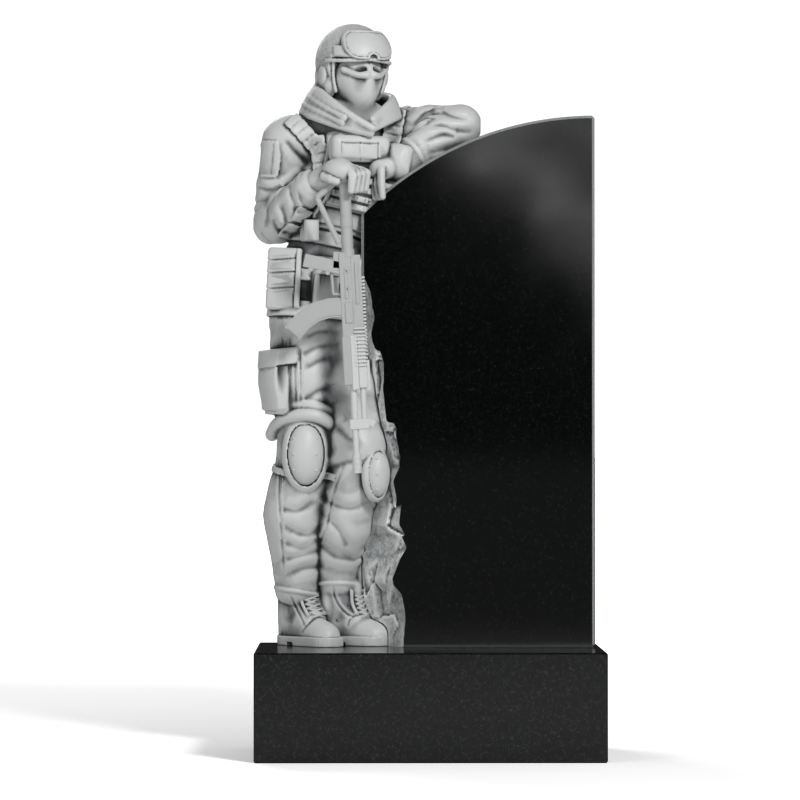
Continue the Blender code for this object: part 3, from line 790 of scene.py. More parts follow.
@dataclass(frozen=True)
class PolishedStone:
    """Black gabbro, sawn and polished to a mirror. Fine grey crystals show in the black.

    The eye gets a dark mirror with a slight haze. The crystals are drawn coarser than real ones, which are
    too fine to show.
    """

    name: str = "polished_black_gabbro"
    ground: str = "#0A0B0B"
    speck: str = "#1A1C1D"
    crystal: str = "#2C2E30"
    crystal_mm: float = 3.5
    roughness: float = 0.045
    ior: float = 1.42

    def make(self) -> bpy.types.Material:
        """Builds the material.

        Returns:
            The finish.
        """
        made, tree, shader, place = start_finish(self.name)
        crystals = add_node(
            tree, "ShaderNodeTexNoise",
            Vector=place, Scale=1000 / self.crystal_mm / 2, Detail=4.0, Roughness=0.7,
        )
        stops = [(0.42, "#050606"), (0.58, self.ground), (0.68, self.speck), (0.80, self.crystal)]
        colour = add_node(tree, "ShaderNodeValToRGB", {"stops": stops}, Fac=crystals.outputs["Fac"])
        tree.links.new(colour.outputs["Color"], shader.inputs["Base Color"])
        haze = add_node(tree, "ShaderNodeTexNoise", Vector=place, Scale=6.0, Detail=3.0)
        rough = add_node(
            tree, "ShaderNodeMath", {"operation": "MULTIPLY_ADD"},
            at_0=haze.outputs["Fac"], at_1=0.05, at_2=self.roughness - 0.02,
        )
        tree.links.new(rough.outputs[0], shader.inputs["Roughness"])
        shader.inputs["IOR"].default_value = self.ior
        return made


@dataclass(frozen=True)
class HonedChamferPaintedHighlight:
    """The same gabbro where a chamfer is ground and left honed, paler than the polish, with its colour
    lightened further as a painted highlight so that it shows as a pale line.

    Its grain is drawn coarser than real grain, which is too fine to show.
    """

    name: str = "honed_gabbro_chamfer_painted_highlight"
    grain_mm: float = 1.5
    roughness: float = 0.30

    def make(self) -> bpy.types.Material:
        """Builds the material.

        Returns:
            The finish.
        """
        made, tree, shader, place = start_finish(self.name)
        grain = add_node(
            tree, "ShaderNodeTexNoise", Vector=place, Scale=1000 / self.grain_mm / 2, Detail=2.0
        )
        # Pale greys: the honed stone's own paler tone together with a painted highlight
        stops = [(0.35, "#7E8284"), (0.65, "#A9ADAF")]
        colour = add_node(tree, "ShaderNodeValToRGB", {"stops": stops}, Fac=grain.outputs["Fac"])
        tree.links.new(colour.outputs["Color"], shader.inputs["Base Color"])
        shader.inputs["Roughness"].default_value = self.roughness
        return made


@dataclass(frozen=True)
class SplitStone:
    """Gabbro as it splits from the block: dull, grey and coarse, with flat breaks, and painted shade in its
    hollows.

    The eye gets bright flats beside hollows darkened with painted shade. The crystals are drawn coarser than
    real ones, which are too fine to show.
    """

    name: str = "split_gabbro"
    crystal_mm: float = 4.0
    chip_mm: float = 28.0
    bump_mm: float = 2.5

    def make(self) -> bpy.types.Material:
        """Builds the material.

        Returns:
            The finish.
        """
        made, tree, shader, place = start_finish(self.name)
        crystals = add_node(
            tree, "ShaderNodeTexNoise",
            Vector=place, Scale=1000 / self.crystal_mm / 2, Detail=5.0, Roughness=0.75,
        )
        chips = add_node(tree, "ShaderNodeTexNoise", Vector=place, Scale=1000 / self.chip_mm, Detail=6.0)
        # How deep each point lies, which darkens hollows as painted shade
        recess = add_node(tree, "ShaderNodeAttribute", {"attribute_name": "recess"}).outputs["Fac"]
        mixed = add_node(
            tree, "ShaderNodeMath", {"operation": "MULTIPLY_ADD"},
            at_0=chips.outputs["Fac"], at_1=0.34, at_2=recess,
        )
        depth = add_node(
            tree, "ShaderNodeMath", {"operation": "MULTIPLY_ADD"},
            at_0=crystals.outputs["Fac"], at_1=0.56, at_2=mixed.outputs[0],
        )
        tone = add_node(tree, "ShaderNodeMath", {"operation": "SUBTRACT"}, at_0=depth.outputs[0], at_1=0.30)
        stops = [(0.42, "#FAFBFB"), (0.60, "#E2E4E4"), (0.72, "#B2B5B6"), (0.92, "#4C4E50")]
        colour = add_node(tree, "ShaderNodeValToRGB", {"stops": stops}, Fac=tone.outputs[0])
        tree.links.new(colour.outputs["Color"], shader.inputs["Base Color"])
        shader.inputs["Roughness"].default_value = 0.85
        bump = add_node(
            tree, "ShaderNodeBump", Height=depth.outputs[0], Distance=self.bump_mm / 1000, Strength=1.0
        )
        tree.links.new(bump.outputs["Normal"], shader.inputs["Normal"])
        return made


def placed(origin: Point, yaw: float, pitch: float = 0.0, lean: float = 0.0) -> Placer:
    """Makes a function that takes points from a turned frame to the carver's frame.

    Args:
        origin: Where the turned frame stands.
        yaw: Its turn about Z in degrees.
        pitch: Its turn about X in degrees.
        lean: Its turn about Y in degrees.

    Returns:
        A function of across, back and height.
    """
    spin = Euler((math.radians(pitch), math.radians(lean), math.radians(yaw))).to_matrix()

    def place(across: float, back: float, height: float) -> Point:
        """Gives one point in the carver's frame."""
        return tuple(Vector(origin) + spin @ Vector((across, back, height)))

    return place


THIGH_CREASES = (
    ((-0.158, 0.901), (-0.130, 0.914), (-0.096, 0.920)),
    ((-0.166, 0.851), (-0.135, 0.870), (-0.100, 0.878)),
    ((-0.158, 0.812), (-0.127, 0.830), (-0.102, 0.842)),
    ((-0.166, 0.718), (-0.135, 0.742), (-0.102, 0.756)),
    ((-0.170, 0.683), (-0.135, 0.698), (-0.106, 0.706)),
)
SHIN_CREASES = (
    ((-0.226, 0.402), (-0.185, 0.392), (-0.140, 0.424)),
    ((-0.222, 0.352), (-0.190, 0.330), (-0.150, 0.322), (-0.120, 0.350)),
    ((-0.219, 0.304), (-0.174, 0.280), (-0.125, 0.312)),
    ((-0.221, 0.253), (-0.174, 0.263), (-0.125, 0.280)),
    ((-0.219, 0.200), (-0.174, 0.228), (-0.125, 0.230)),
    ((-0.115, 0.441), (-0.084, 0.413), (-0.025, 0.398), (0.022, 0.425)),
    ((-0.096, 0.374), (-0.061, 0.335), (-0.041, 0.288)),
    ((-0.061, 0.280), (-0.025, 0.249), (-0.006, 0.261), (0.014, 0.300)),
    ((-0.117, 0.296), (-0.080, 0.261), (-0.029, 0.249)),
    ((-0.100, 0.503), (-0.057, 0.534), (-0.021, 0.542)),
    ((-0.068, 0.640), (-0.041, 0.608), (-0.018, 0.601)),
)
SLEEVE_CREASES = (
    ((-0.276, 1.232), (-0.270, 1.280), (-0.239, 1.326), (-0.203, 1.358), (-0.167, 1.384)),
    ((-0.232, 1.280), (-0.220, 1.251), (-0.223, 1.215)),
    ((-0.208, 1.343), (-0.202, 1.305), (-0.183, 1.270)),
    ((-0.198, 1.273), (-0.169, 1.259), (-0.140, 1.276)),
    ((-0.256, 1.247), (-0.241, 1.210), (-0.208, 1.210)),
    ((-0.181, 1.319), (-0.172, 1.285), (-0.144, 1.268)),
    ((-0.295, 1.213), (-0.276, 1.189), (-0.242, 1.179)),
    ((-0.300, 1.343), (-0.266, 1.331), (-0.234, 1.348)),
    ((-0.218, 1.474), (-0.193, 1.445), (-0.160, 1.415)),
    ((0.154, 1.527), (0.183, 1.561), (0.217, 1.575)),
    ((0.135, 1.495), (0.178, 1.517), (0.219, 1.546)),
    ((0.198, 1.515), (0.236, 1.522), (0.280, 1.506), (0.323, 1.506)),
    ((0.193, 1.477), (0.241, 1.497), (0.275, 1.487)),
    ((0.203, 1.442), (0.251, 1.453), (0.294, 1.469)),
    ((0.236, 1.565), (0.270, 1.546), (0.318, 1.541)),
)
BOOT_SEAMS = (
    ((-0.172, 0.043), (-0.148, 0.071), (-0.128, 0.086), (-0.099, 0.086)),
    ((-0.205, 0.144), (-0.197, 0.124), (-0.176, 0.084), (-0.164, 0.059)),
    ((-0.081, 0.172), (-0.079, 0.144), (-0.059, 0.108), (-0.028, 0.082), (0.004, 0.094)),
    ((-0.038, 0.059), (-0.034, 0.075), (-0.022, 0.084)),
)
POUCH_LINES = (
    ((-0.058, 1.464), (0.052, 1.464)), ((-0.058, 1.417), (0.052, 1.417)), ((-0.055, 1.468), (-0.055, 1.413)),
    ((-0.003, 1.468), (-0.003, 1.413)), ((0.049, 1.468), (0.049, 1.413)),
)
SEAMS = (
    ((-0.236, 0.507), (-0.240, 0.437), (-0.232, 0.327), (-0.225, 0.218)),
    ((-0.193, 0.866), (-0.191, 0.796), (-0.188, 0.694)),
    ((-0.178, 0.866), (-0.175, 0.796), (-0.174, 0.694)),
    ((-0.049, 0.530), (-0.084, 0.437), (-0.096, 0.359), (-0.119, 0.304)),
)


@dataclass
class Soldier:
    """The carved figure: head, dress, gear, arms, legs and boots.

    Attributes:
        cell: Spacing of the carving grid.
        most_faces: Triangles that the finished surface may have.
        head_turn: Turn of the head about Z in degrees, like those of the chest and the hips.
        head_nod: How far the head bends forward, in degrees.
        right_shoulder: Centre of the joint in the carver's frame, like all the points after it.
        right_sole: Back and front of the right sole.
        left_sole: Back and front of the left sole.
        clay: The grid that the figure is carved in.
    """

    cell: float = 0.0032
    most_faces: int = 190_000
    head_turn: float = 26.0
    head_nod: float = 8.0
    chest_turn: float = 22.0
    hip_turn: float = 28.0
    right_shoulder: Point = (-0.222, 0.090, 1.480)
    right_elbow: Point = (-0.257, 0.120, 1.238)
    right_cuff: Point = (-0.146, -0.045, 1.338)
    right_wrist: Point = (-0.122, -0.070, 1.352)
    right_palm: Point = (-0.060, -0.118, 1.378)
    left_shoulder: Point = (0.112, 0.200, 1.528)
    right_hip: Point = (-0.165, 0.095, 0.945)
    right_thigh: Point = (-0.166, 0.085, 0.780)
    right_knee: Point = (-0.163, 0.075, 0.560)
    right_shin: Point = (-0.200, 0.110, 0.380)
    right_ankle: Point = (-0.190, 0.140, 0.220)
    left_hip: Point = (-0.095, 0.155, 0.945)
    left_knee: Point = (-0.008, 0.050, 0.580)
    left_shin: Point = (-0.048, 0.105, 0.350)
    left_ankle: Point = (-0.072, 0.150, 0.235)
    right_sole: tuple[Point, Point] = ((-0.226, 0.208, 0), (-0.078, 0.022, 0))
    left_sole: tuple[Point, Point] = ((-0.108, 0.195, 0), (0.066, 0.085, 0))
    clay: Clay = field(init=False)

    def __post_init__(self) -> None:
        """Lays out the grid over the figure's box."""
        margin = Vector((0.012, 0.012, 0.012))
        low, high = SOLDIER_LOW - DATUM - margin, SOLDIER_HIGH - DATUM + margin
        self.clay = Clay(tuple(low), tuple(high), self.cell)
        self.left_elbow = resting(0.292, 0.115, 0.056)
        self.left_middle = resting(0.200, 0.080, 0.052)
        self.left_cuff = resting(0.118, 0.055, 0.043)
        self.left_palm = tuple(Vector(self.left_cuff) + Vector((-0.064, -0.046, -0.026)))

    def carve(self) -> None:
        """Carves everything in order, from the body under the cloth to the gear on top."""
        self.body()
        self.legs()
        self.sleeves()
        self.front_folds()
        skin = self.clay.depth.copy()
        self.vest(skin)
        self.leg_gear(skin)
        self.hood()
        self.head()
        self.right_hand()
        self.left_hand()
        self.boots()

    def body(self) -> None:
        """Hips, waist, chest and shoulders in cloth."""
        clay = self.clay
        clay.egg((-0.150, 0.125, 0.975), (0.112, 0.108, 0.130), (0, 0, self.hip_turn), 0.02)
        clay.egg((-0.132, 0.125, 1.080), (0.118, 0.102, 0.150), (0, 10, self.hip_turn), 0.03)
        clay.egg((-0.070, 0.125, 1.330), (0.128, 0.112, 0.210), (0, 14, self.chest_turn), 0.04)
        clay.egg((-0.030, 0.135, 1.440), (0.130, 0.112, 0.110), (0, 8, self.chest_turn), 0.04)
        clay.limb((-0.190, 0.095, 1.490), (0.095, 0.195, 1.520), (0.066, 0.058), 0.03)

    def legs(self) -> None:
        """Both trouser legs, with folds that gather behind the knees and over the boots."""
        clay = self.clay
        thigh, shin, calf = self.right_thigh, self.right_shin, self.left_shin
        middle = tuple(Vector(self.left_hip).lerp(Vector(self.left_knee), 0.5))
        clay.limb(self.right_hip, thigh, (0.101, 0.097), 0.03, gathered(11, 5, (0.1, 0.9), 0.006, 0.016))
        clay.limb(thigh, self.right_knee, (0.097, 0.079), 0.02, gathered(12, 5, (0.1, 0.85), 0.006, 0.014))
        clay.limb(self.right_knee, shin, (0.079, 0.081), 0.02, gathered(13, 5, (0.35, 1.0), 0.003, 0.015))
        clay.limb(shin, self.right_ankle, (0.081, 0.068), 0.012, gathered(14, 6, (0.0, 0.98), 0.004, 0.014))
        clay.egg((-0.200, 0.112, 0.390), (0.077, 0.076, 0.165), (0, 0, 0), 0.02)
        clay.limb(self.left_hip, middle, (0.100, 0.090), 0.03, gathered(15, 5, (0.2, 0.9), 0.006, 0.014))
        clay.limb(middle, self.left_knee, (0.090, 0.076), 0.02, gathered(16, 5, (0.1, 0.95), 0.007, 0.014))
        clay.limb(self.left_knee, calf, (0.074, 0.074), 0.02, gathered(17, 5, (0.30, 1.0), 0.008, 0.015))
        clay.limb(calf, self.left_ankle, (0.074, 0.062), 0.012, gathered(18, 6, (0.0, 0.98), 0.009, 0.014))

    def front_folds(self) -> None:
        """Creases that show from the front, each with a soft crest above it."""
        for line in THIGH_CREASES:
            self.clay.stroke(line, 0.0120, 0.0036, (-0.10, 0.10))
        for line in SHIN_CREASES:
            self.clay.stroke(line, 0.0130, 0.0042, (-0.06, 0.16))
        for line in SLEEVE_CREASES:
            self.clay.stroke(line, 0.0095, 0.0048, (-0.14, 0.16))
        for line in SEAMS:
            self.clay.stroke(line, 0.0040, 0.0022, (-0.10, 0.16), crest=0.5)

    def sleeves(self) -> None:
        """Both sleeves, with folds that wind round the elbows."""
        clay = self.clay
        upper = tuple(Vector(self.right_shoulder).lerp(Vector(self.right_elbow), 0.55))
        right_end, left_end, left_middle = self.right_cuff, self.left_cuff, self.left_middle
        fore = (-0.212, 0.040, 1.278)
        bend = (0.205, 0.170, 1.528)
        clay.limb(
            self.right_shoulder, upper, (0.069, 0.063), 0.02, gathered(21, 4, (0.2, 0.9), 0.007, 0.016)
        )
        clay.limb(upper, self.right_elbow, (0.063, 0.058), 0.015, gathered(22, 5, (0.1, 0.8), 0.007, 0.013))
        clay.limb(self.right_elbow, fore, (0.058, 0.056), 0.015, gathered(23, 5, (0.2, 0.95), 0.007, 0.012))
        clay.limb(fore, right_end, (0.056, 0.046), 0.012, gathered(24, 6, (0.05, 0.95), 0.009, 0.010))
        clay.limb(self.left_shoulder, bend, (0.060, 0.060), 0.02, gathered(25, 5, (0.1, 0.9), 0.008, 0.013))
        clay.limb(bend, self.left_elbow, (0.060, 0.060), 0.015, gathered(26, 5, (0.1, 0.9), 0.009, 0.013))
        clay.limb(
            self.left_elbow, left_middle, (0.060, 0.055), 0.012, gathered(27, 6, (0.1, 0.95), 0.010, 0.012)
        )
        clay.limb(left_middle, left_end, (0.055, 0.046), 0.012, gathered(28, 5, (0.1, 0.9), 0.009, 0.011))

    def vest(self, skin: np.ndarray) -> None:
        """Plate carrier, shoulder straps, chest pouch, cummerbund, belt and belt pouches.

        Args:
            skin: The cloth below, which the layers follow.
        """
        clay = self.clay
        at = placed((-0.040, 0.125, 1.380), self.chest_turn, 0, 12)
        facing = (0, 12, self.chest_turn)
        clay.wrap(skin, at(0.006, -0.10, -0.030), (0.235, 0.16, 0.270), facing, 0.016, 0.004)
        clay.wrap(skin, at(0.004, 0.10, -0.020), (0.240, 0.14, 0.280), facing, 0.018, 0.004)
        clay.block(at(0.006, -0.104, -0.010), (0.215, 0.050, 0.215), facing, 0.014, 0.008)
        clay.block(at(0.004, 0.108, -0.020), (0.225, 0.042, 0.250), facing, 0.016, 0.010)
        level = (0, 0, self.chest_turn)
        clay.block((-0.006, 0.002, 1.449), (0.180, 0.060, 0.078), level, 0.020, 0.004)
        for line in POUCH_LINES:
            clay.stroke(line, 0.0022, 0.0034, (-0.10, 0.06), crest=0.0)
        for height in (-0.022, -0.050, -0.078, -0.104):
            clay.block(at(0.006, -0.130, height), (0.205, 0.010, 0.017), facing, 0.003)
            for number in range(6):
                clay.block(at(-0.085 + 0.036 * number, -0.136, height), (0.006, 0.006, 0.017), facing, 0.001)
        self.strap(skin, (-0.162, 0.060, 1.494), 0.046, -42)
        self.strap(skin, (-0.122, 0.020, 1.425), 0.042, -8)
        self.strap(skin, (0.094, 0.110, 1.515), 0.052, 10)
        for height in (-0.205, -0.160):
            clay.wrap(skin, at(0.04 * height, 0.0, height), (0.330, 0.300, 0.036), facing, 0.008)
        clay.egg((-0.022, 0.130, 1.150), (0.022, 0.050, 0.060), (0, 0, 0), 0.010)
        clay.block((-0.150, 0.012, 1.212), (0.044, 0.050, 0.062), level, 0.005, 0.002)
        waist = placed((-0.150, 0.125, 1.050), self.hip_turn, 0, 4)
        turned = (0, 4, self.hip_turn)
        clay.wrap(skin, waist(0, 0, -0.070), (0.300, 0.300, 0.046), turned, 0.009)
        clay.wrap(skin, waist(0, 0, 0.030), (0.300, 0.300, 0.034), turned, 0.009)
        side_turn = (0, 3, -20)
        pouch = placed((-0.219, 0.050, 1.072), -20, 0, 3)
        clay.block(pouch(0, 0, 0), (0.094, 0.086, 0.182), side_turn, 0.010)
        for height in (1.127, 1.089, 1.044):
            line = ((-0.300, height), (-0.184, height + 0.003))
            clay.stroke(line, 0.0024, 0.0036, (-0.12, 0.07), crest=0.5)
        clay.block(pouch(0.046, -0.030, 0.004), (0.016, 0.034, 0.172), (0, 3, 10), 0.004, 0.0005)
        clay.block(waist(-0.012, -0.112, 0.010), (0.080, 0.050, 0.150), turned, 0.010)
        clay.block(waist(-0.012, -0.130, 0.056), (0.084, 0.022, 0.050), turned, 0.004)
        clay.block(waist(0.0, 0.115, 0.010), (0.130, 0.045, 0.130), turned, 0.012)
        clay.wrap(skin, (-0.285, 0.030, 1.425), (0.080, 0.070, 0.105), (0, 6, 40), 0.0055, 0.001)
        patch = ((-0.262, 1.376), (-0.258, 1.425), (-0.254, 1.474))
        clay.stroke(patch, 0.0025, 0.002, (-0.05, 0.12), crest=0.0)

    def strap(self, skin: np.ndarray, centre: Point, width: float, lean: float) -> None:
        """Adds a shoulder strap with rows of webbing sewn across it.

        Args:
            skin: The cloth below.
            centre: Middle of the strap.
            width: Its width.
            lean: Its turn about Y in degrees.
        """
        up = Vector((math.sin(math.radians(lean)), 0, math.cos(math.radians(lean))))
        self.clay.wrap(skin, centre, (width, 0.30, 0.130), (0, lean, 0), 0.011, 0.0005)
        for row in range(5):
            place = Vector(centre) + up * (0.028 * row - 0.056)
            self.clay.wrap(skin, tuple(place), (width + 0.004, 0.30, 0.021), (0, lean, 0), 0.0125, 0.0003)

    def leg_gear(self, skin: np.ndarray) -> None:
        """Cargo pocket, rolled cloth over the knee, knee pads and their strap, and hems.

        Args:
            skin: The cloth below, which the layers follow.
        """
        clay = self.clay
        clay.wrap(skin, (-0.262, 0.060, 0.764), (0.116, 0.150, 0.172), (0, 4, 12), 0.028, 0.006)
        clay.wrap(skin, (-0.262, 0.058, 0.764), (0.080, 0.160, 0.150), (0, 4, 12), 0.034, 0.004)
        clay.wrap(skin, (-0.260, 0.054, 0.842), (0.122, 0.160, 0.050), (0, -6, 12), 0.037, 0.0005)
        arch = [
            (-0.262, 0.130, 0.618), (-0.248, 0.050, 0.650), (-0.196, 0.002, 0.674),
            (-0.149, -0.008, 0.678), (-0.104, 0.006, 0.664), (-0.078, 0.050, 0.634),
        ]
        clay.chain(rounded(arch), 0.0165, 0.008)
        upper = [
            (-0.250, 0.100, 0.690), (-0.205, 0.010, 0.706), (-0.140, -0.008, 0.708), (-0.084, 0.030, 0.682),
        ]
        clay.chain(rounded(upper), 0.0105, 0.010)
        self.knee_pad((-0.170, 0.074, 0.562), 8, 1.12)
        self.knee_pad((0.010, 0.046, 0.503), 42, 0.80)
        clay.limb((-0.188, 0.140, 0.200), (-0.190, 0.138, 0.168), (0.063, 0.063), 0.010)
        clay.limb((-0.072, 0.150, 0.215), (-0.070, 0.148, 0.184), (0.058, 0.057), 0.010)
        clay.egg((-0.012, 0.185, 0.205), (0.016, 0.040, 0.080), (0, 0, 0), 0.010)
        self.hoop((-0.190, 0.138, 0.160), (0.16, 0.0, 1), 0.061, 0.0045)
        self.hoop((-0.070, 0.148, 0.178), (0.0, 0.1, 1), 0.055, 0.0042)
        clay.wrap(skin, (-0.175, 0.085, 0.512), (0.20, 0.20, 0.020), (8, 6, 0), 0.005)

    def hoop(self, centre: Point, normal: Triple, radius: float, thick: float) -> None:
        """Adds a roll of cloth round a limb.

        Args:
            centre: Its centre.
            normal: The limb's direction.
            radius: Radius to the middle of the roll.
            thick: Radius of the roll.
        """
        turn = UP.rotation_difference(Vector(normal)).to_matrix()
        steps = 36
        points, radii = [], []
        for step in range(steps + 1):
            angle = 2 * math.pi * step / steps
            offset = turn @ Vector((radius * math.cos(angle), radius * math.sin(angle), 0))
            points.append(tuple(Vector(centre) + offset))
            radii.append(thick * (1 + 0.10 * math.sin(2 * angle + radius * 90)))
        self.clay.chain(points, radii, 0.005)

    def knee_pad(self, knee: Point, yaw: float, share: float) -> None:
        """Adds an oval cap on a rimmed pad.

        Args:
            knee: Centre of the knee.
            yaw: The way that it faces, in degrees.
            share: Its size as a share of the large pad.
        """
        facing = Vector((math.sin(math.radians(yaw)), -math.cos(math.radians(yaw)), 0))
        centre = Vector(knee) + facing * 0.048
        sizes = (PAD_RADII, GROOVE_RADII, CAP_RADII)
        pad, groove, cap = (tuple(share * radius for radius in radii) for radii in sizes)
        turn = (0, 0, yaw)
        self.clay.egg(tuple(centre), pad, turn, 0.004)
        self.clay.egg(tuple(centre + facing * 0.013), groove, turn, 0.0005, Operation.CUT)
        self.clay.egg(tuple(centre + facing * 0.012), cap, turn, 0.0005)

    def hood(self) -> None:
        """The hood lies open round the neck, with its rim meeting in a point on the chest."""
        clay = self.clay
        rim = [
            (0.034, -0.035, 1.506), (-0.040, -0.030, 1.550), (-0.104, 0.020, 1.604), (-0.138, 0.100, 1.642),
            (-0.110, 0.180, 1.650), (-0.020, 0.220, 1.640), (0.060, 0.200, 1.625), (0.096, 0.140, 1.612),
            (0.082, 0.060, 1.585), (0.034, -0.020, 1.535),
        ]
        outer = [
            (0.028, -0.026, 1.492), (-0.060, -0.018, 1.512), (-0.140, 0.034, 1.545), (-0.182, 0.110, 1.566),
            (-0.150, 0.200, 1.580), (-0.030, 0.240, 1.585), (0.075, 0.222, 1.572), (0.118, 0.150, 1.560),
            (0.092, 0.050, 1.540), (0.036, -0.012, 1.508),
        ]
        clay.egg((-0.030, 0.135, 1.560), (0.115, 0.095, 0.055), (0, 6, self.chest_turn), 0.02)
        for sheet in range(1, HOOD_SHEETS + 1):
            share = sheet / HOOD_SHEETS
            lift = 0.006 * math.sin(math.pi * share)
            clay.chain(rounded(self.between(rim, outer, share, lift), 2), 0.0105, 0.0003)
        clay.chain(rounded(rim, 2), 0.0100, 0.0015)
        for fold in HOOD_FOLDS:
            clay.chain(rounded(self.between(rim[1:5], outer[1:5], fold, 0.004), 2), 0.0130, 0.0006)
        neck_folds = gathered(31, 6, (0.3, 0.95), 0.005, 0.010)
        clay.limb((-0.036, 0.125, 1.50), (-0.026, 0.105, 1.66), (0.066, 0.060), 0.003, neck_folds)

    @staticmethod
    def between(first: list[Point], last: list[Point], share: float, lift: float) -> list[Point]:
        """The line at a share of the way between two others, raised by a lift."""
        return [tuple(Vector(a).lerp(Vector(b), share) + UP * lift) for a, b in zip(first, last)]

    def head(self) -> None:
        """Helmet with a cloth cover, goggles pushed up, ear covers and a plain masked face."""
        clay = self.clay
        at = placed((-0.022, 0.098, 1.711), self.head_turn, self.head_nod)
        facing = (self.head_nod, 0, self.head_turn)
        clay.egg(at(0, -0.026, -0.040), (0.075, 0.086, 0.078), facing, 0.004)
        clay.egg(at(0, -0.056, -0.094), (0.042, 0.055, 0.048), facing, 0.028)
        clay.egg(at(0, -0.106, -0.048), (0.008, 0.014, 0.036), facing, 0.030)
        for side in (-1, 1):
            clay.egg(at(0.034 * side, -0.109, -0.014), (0.024, 0.014, 0.012), facing, 0.006, Operation.CUT)
            cheek = [(0.010, -0.120, -0.030), (0.036, -0.109, -0.034), (0.070, -0.070, -0.018)]
            clay.chain(rounded([at(x * side, y, z) for x, y, z in cheek], 2), 0.0028, 0.013)
        clay.egg(at(0, 0.035, -0.045), (0.098, 0.092, 0.070), facing, 0.010)
        shell = Clay(tuple(clay.low), tuple(clay.low + clay.cell), clay.cell)
        shell.depth = np.full_like(clay.depth, Clay.FAR)
        shell.egg(at(0, 0.008, 0.0), (0.106, 0.124, 0.112), facing, 0.0, reach_more=0.03)
        bare = shell.depth.copy()
        shell.block(at(0, -0.130, -0.094), (0.30, 0.186, 0.220), facing, 0.020, 0.004, Operation.CUT)
        middle = np.array(at(0, 0, 0))
        spans, x, y, z = clay.window(middle - 0.15, middle + 0.15)
        # A wavy weave stands for the cover's cloth, drawn coarser than real cloth so that it shows
        across = np.sin(x * 690 + 3 * np.sin(z * 90)) * np.sin(z * 640 + 2 * np.sin(y * 80))
        weave = across * np.sin(y * 660 + 1)
        clay.merge(spans, shell.depth[spans] + 0.0013 * weave, 0.003, Operation.ADD)
        angles = [math.radians(-74 + 8 * step) for step in range(19)]
        rim = [
            at(0.106 * math.sin(a), 0.008 - 0.124 * math.cos(a), 0.015 - 0.012 * abs(math.sin(a)))
            for a in angles
        ]
        clay.chain(rim, 0.0052, 0.003)
        for side in (-1, 1):
            clay.egg(at(0.078 * side, 0.012, -0.056), (0.028, 0.050, 0.056), facing, 0.004)
            clay.egg(at(0.100 * side, -0.004, -0.040), (0.010, 0.022, 0.030), facing, 0.001)
            chin = [(0.088, -0.048, -0.004), (0.085, -0.044, -0.046), (0.074, -0.046, -0.086)]
            clay.chain([at(side * x, y, z) for x, y, z in rounded(chin, 2)], 0.0040, 0.004)
        self.goggles(at, bare, facing)

    def goggles(self, at: Placer, shell: np.ndarray, facing: Triple) -> None:
        """Adds the frame, the lens and the band that ride on the helmet.

        Args:
            at: Takes points from the head's frame to the carver's frame.
            shell: Depth of the helmet alone.
            facing: The head's turn.
        """
        clay = self.clay
        middle = at(0.004, -0.108, 0.056)
        spans, x, y, z = clay.window(np.array(middle) - 0.11, np.array(middle) + 0.11)
        frame_mask = clay.slab(x, y, z, middle, (0.158, 0.150, 0.082), facing, 0.036)
        lens_mask = clay.slab(x, y, z, middle, (0.148, 0.150, 0.071), facing, 0.032)
        notch = at(0.004, -0.125, 0.016)
        nose = np.sqrt((x - notch[0]) ** 2 + (y - notch[1]) ** 2 + (z - notch[2]) ** 2)
        frame_mask = np.maximum(frame_mask, 0.014 - nose)
        lens_mask = np.maximum(lens_mask, 0.020 - nose)
        here = shell[spans]
        clay.merge(spans, np.maximum(here - 0.0145, frame_mask), 0.0005, Operation.ADD)
        clay.merge(spans, np.maximum(-(here - 0.0105), lens_mask), 0.0005, Operation.CUT)
        clay.merge(spans, np.maximum(here - 0.0128, lens_mask + 0.0022), 0.0005, Operation.ADD)
        band = clay.slab(x, y, z, at(0, 0.0, 0.034), (0.30, 0.30, 0.030), facing, 0.004)
        clay.merge(spans, np.maximum(here - 0.005, band), 0.0005, Operation.ADD)

    def finger(self, points: list[Point], radius: float) -> None:
        """Adds one gloved finger from knuckle to tip."""
        self.clay.chain(points, [radius * 1.1, radius, radius * 0.85], 0.0015)

    def right_hand(self) -> None:
        """The gloved hand laid over the butt."""
        clay = self.clay
        clay.limb(self.right_wrist, self.right_palm, (0.034, 0.036), 0.004)
        clay.egg((-0.060, -0.128, 1.378), (0.050, 0.034, 0.028), (0, 14, -20), 0.012)
        clay.egg((-0.046, -0.096, 1.380), (0.042, 0.030, 0.026), (0, 14, -20), 0.012)
        for n in range(4):
            self.finger(
                [
                    (-0.042 + 0.013 * n, -0.145 + 0.024 * n, 1.386 - 0.002 * n),
                    (-0.024 + 0.013 * n, -0.158 + 0.023 * n, 1.360 + 0.004 * n),
                    (-0.028 + 0.013 * n, -0.154 + 0.022 * n, 1.318 + 0.003 * n),
                ],
                0.0132,
            )
        self.finger([(-0.106, -0.126, 1.360), (-0.088, -0.142, 1.352), (-0.070, -0.148, 1.344)], 0.0125)
        along = Vector(self.right_cuff) - Vector(self.right_elbow)
        self.hoop(self.right_cuff, tuple(along), 0.041, 0.007)
        self.hoop(tuple(Vector(self.right_cuff) + along * 0.09), tuple(along), 0.034, 0.006)

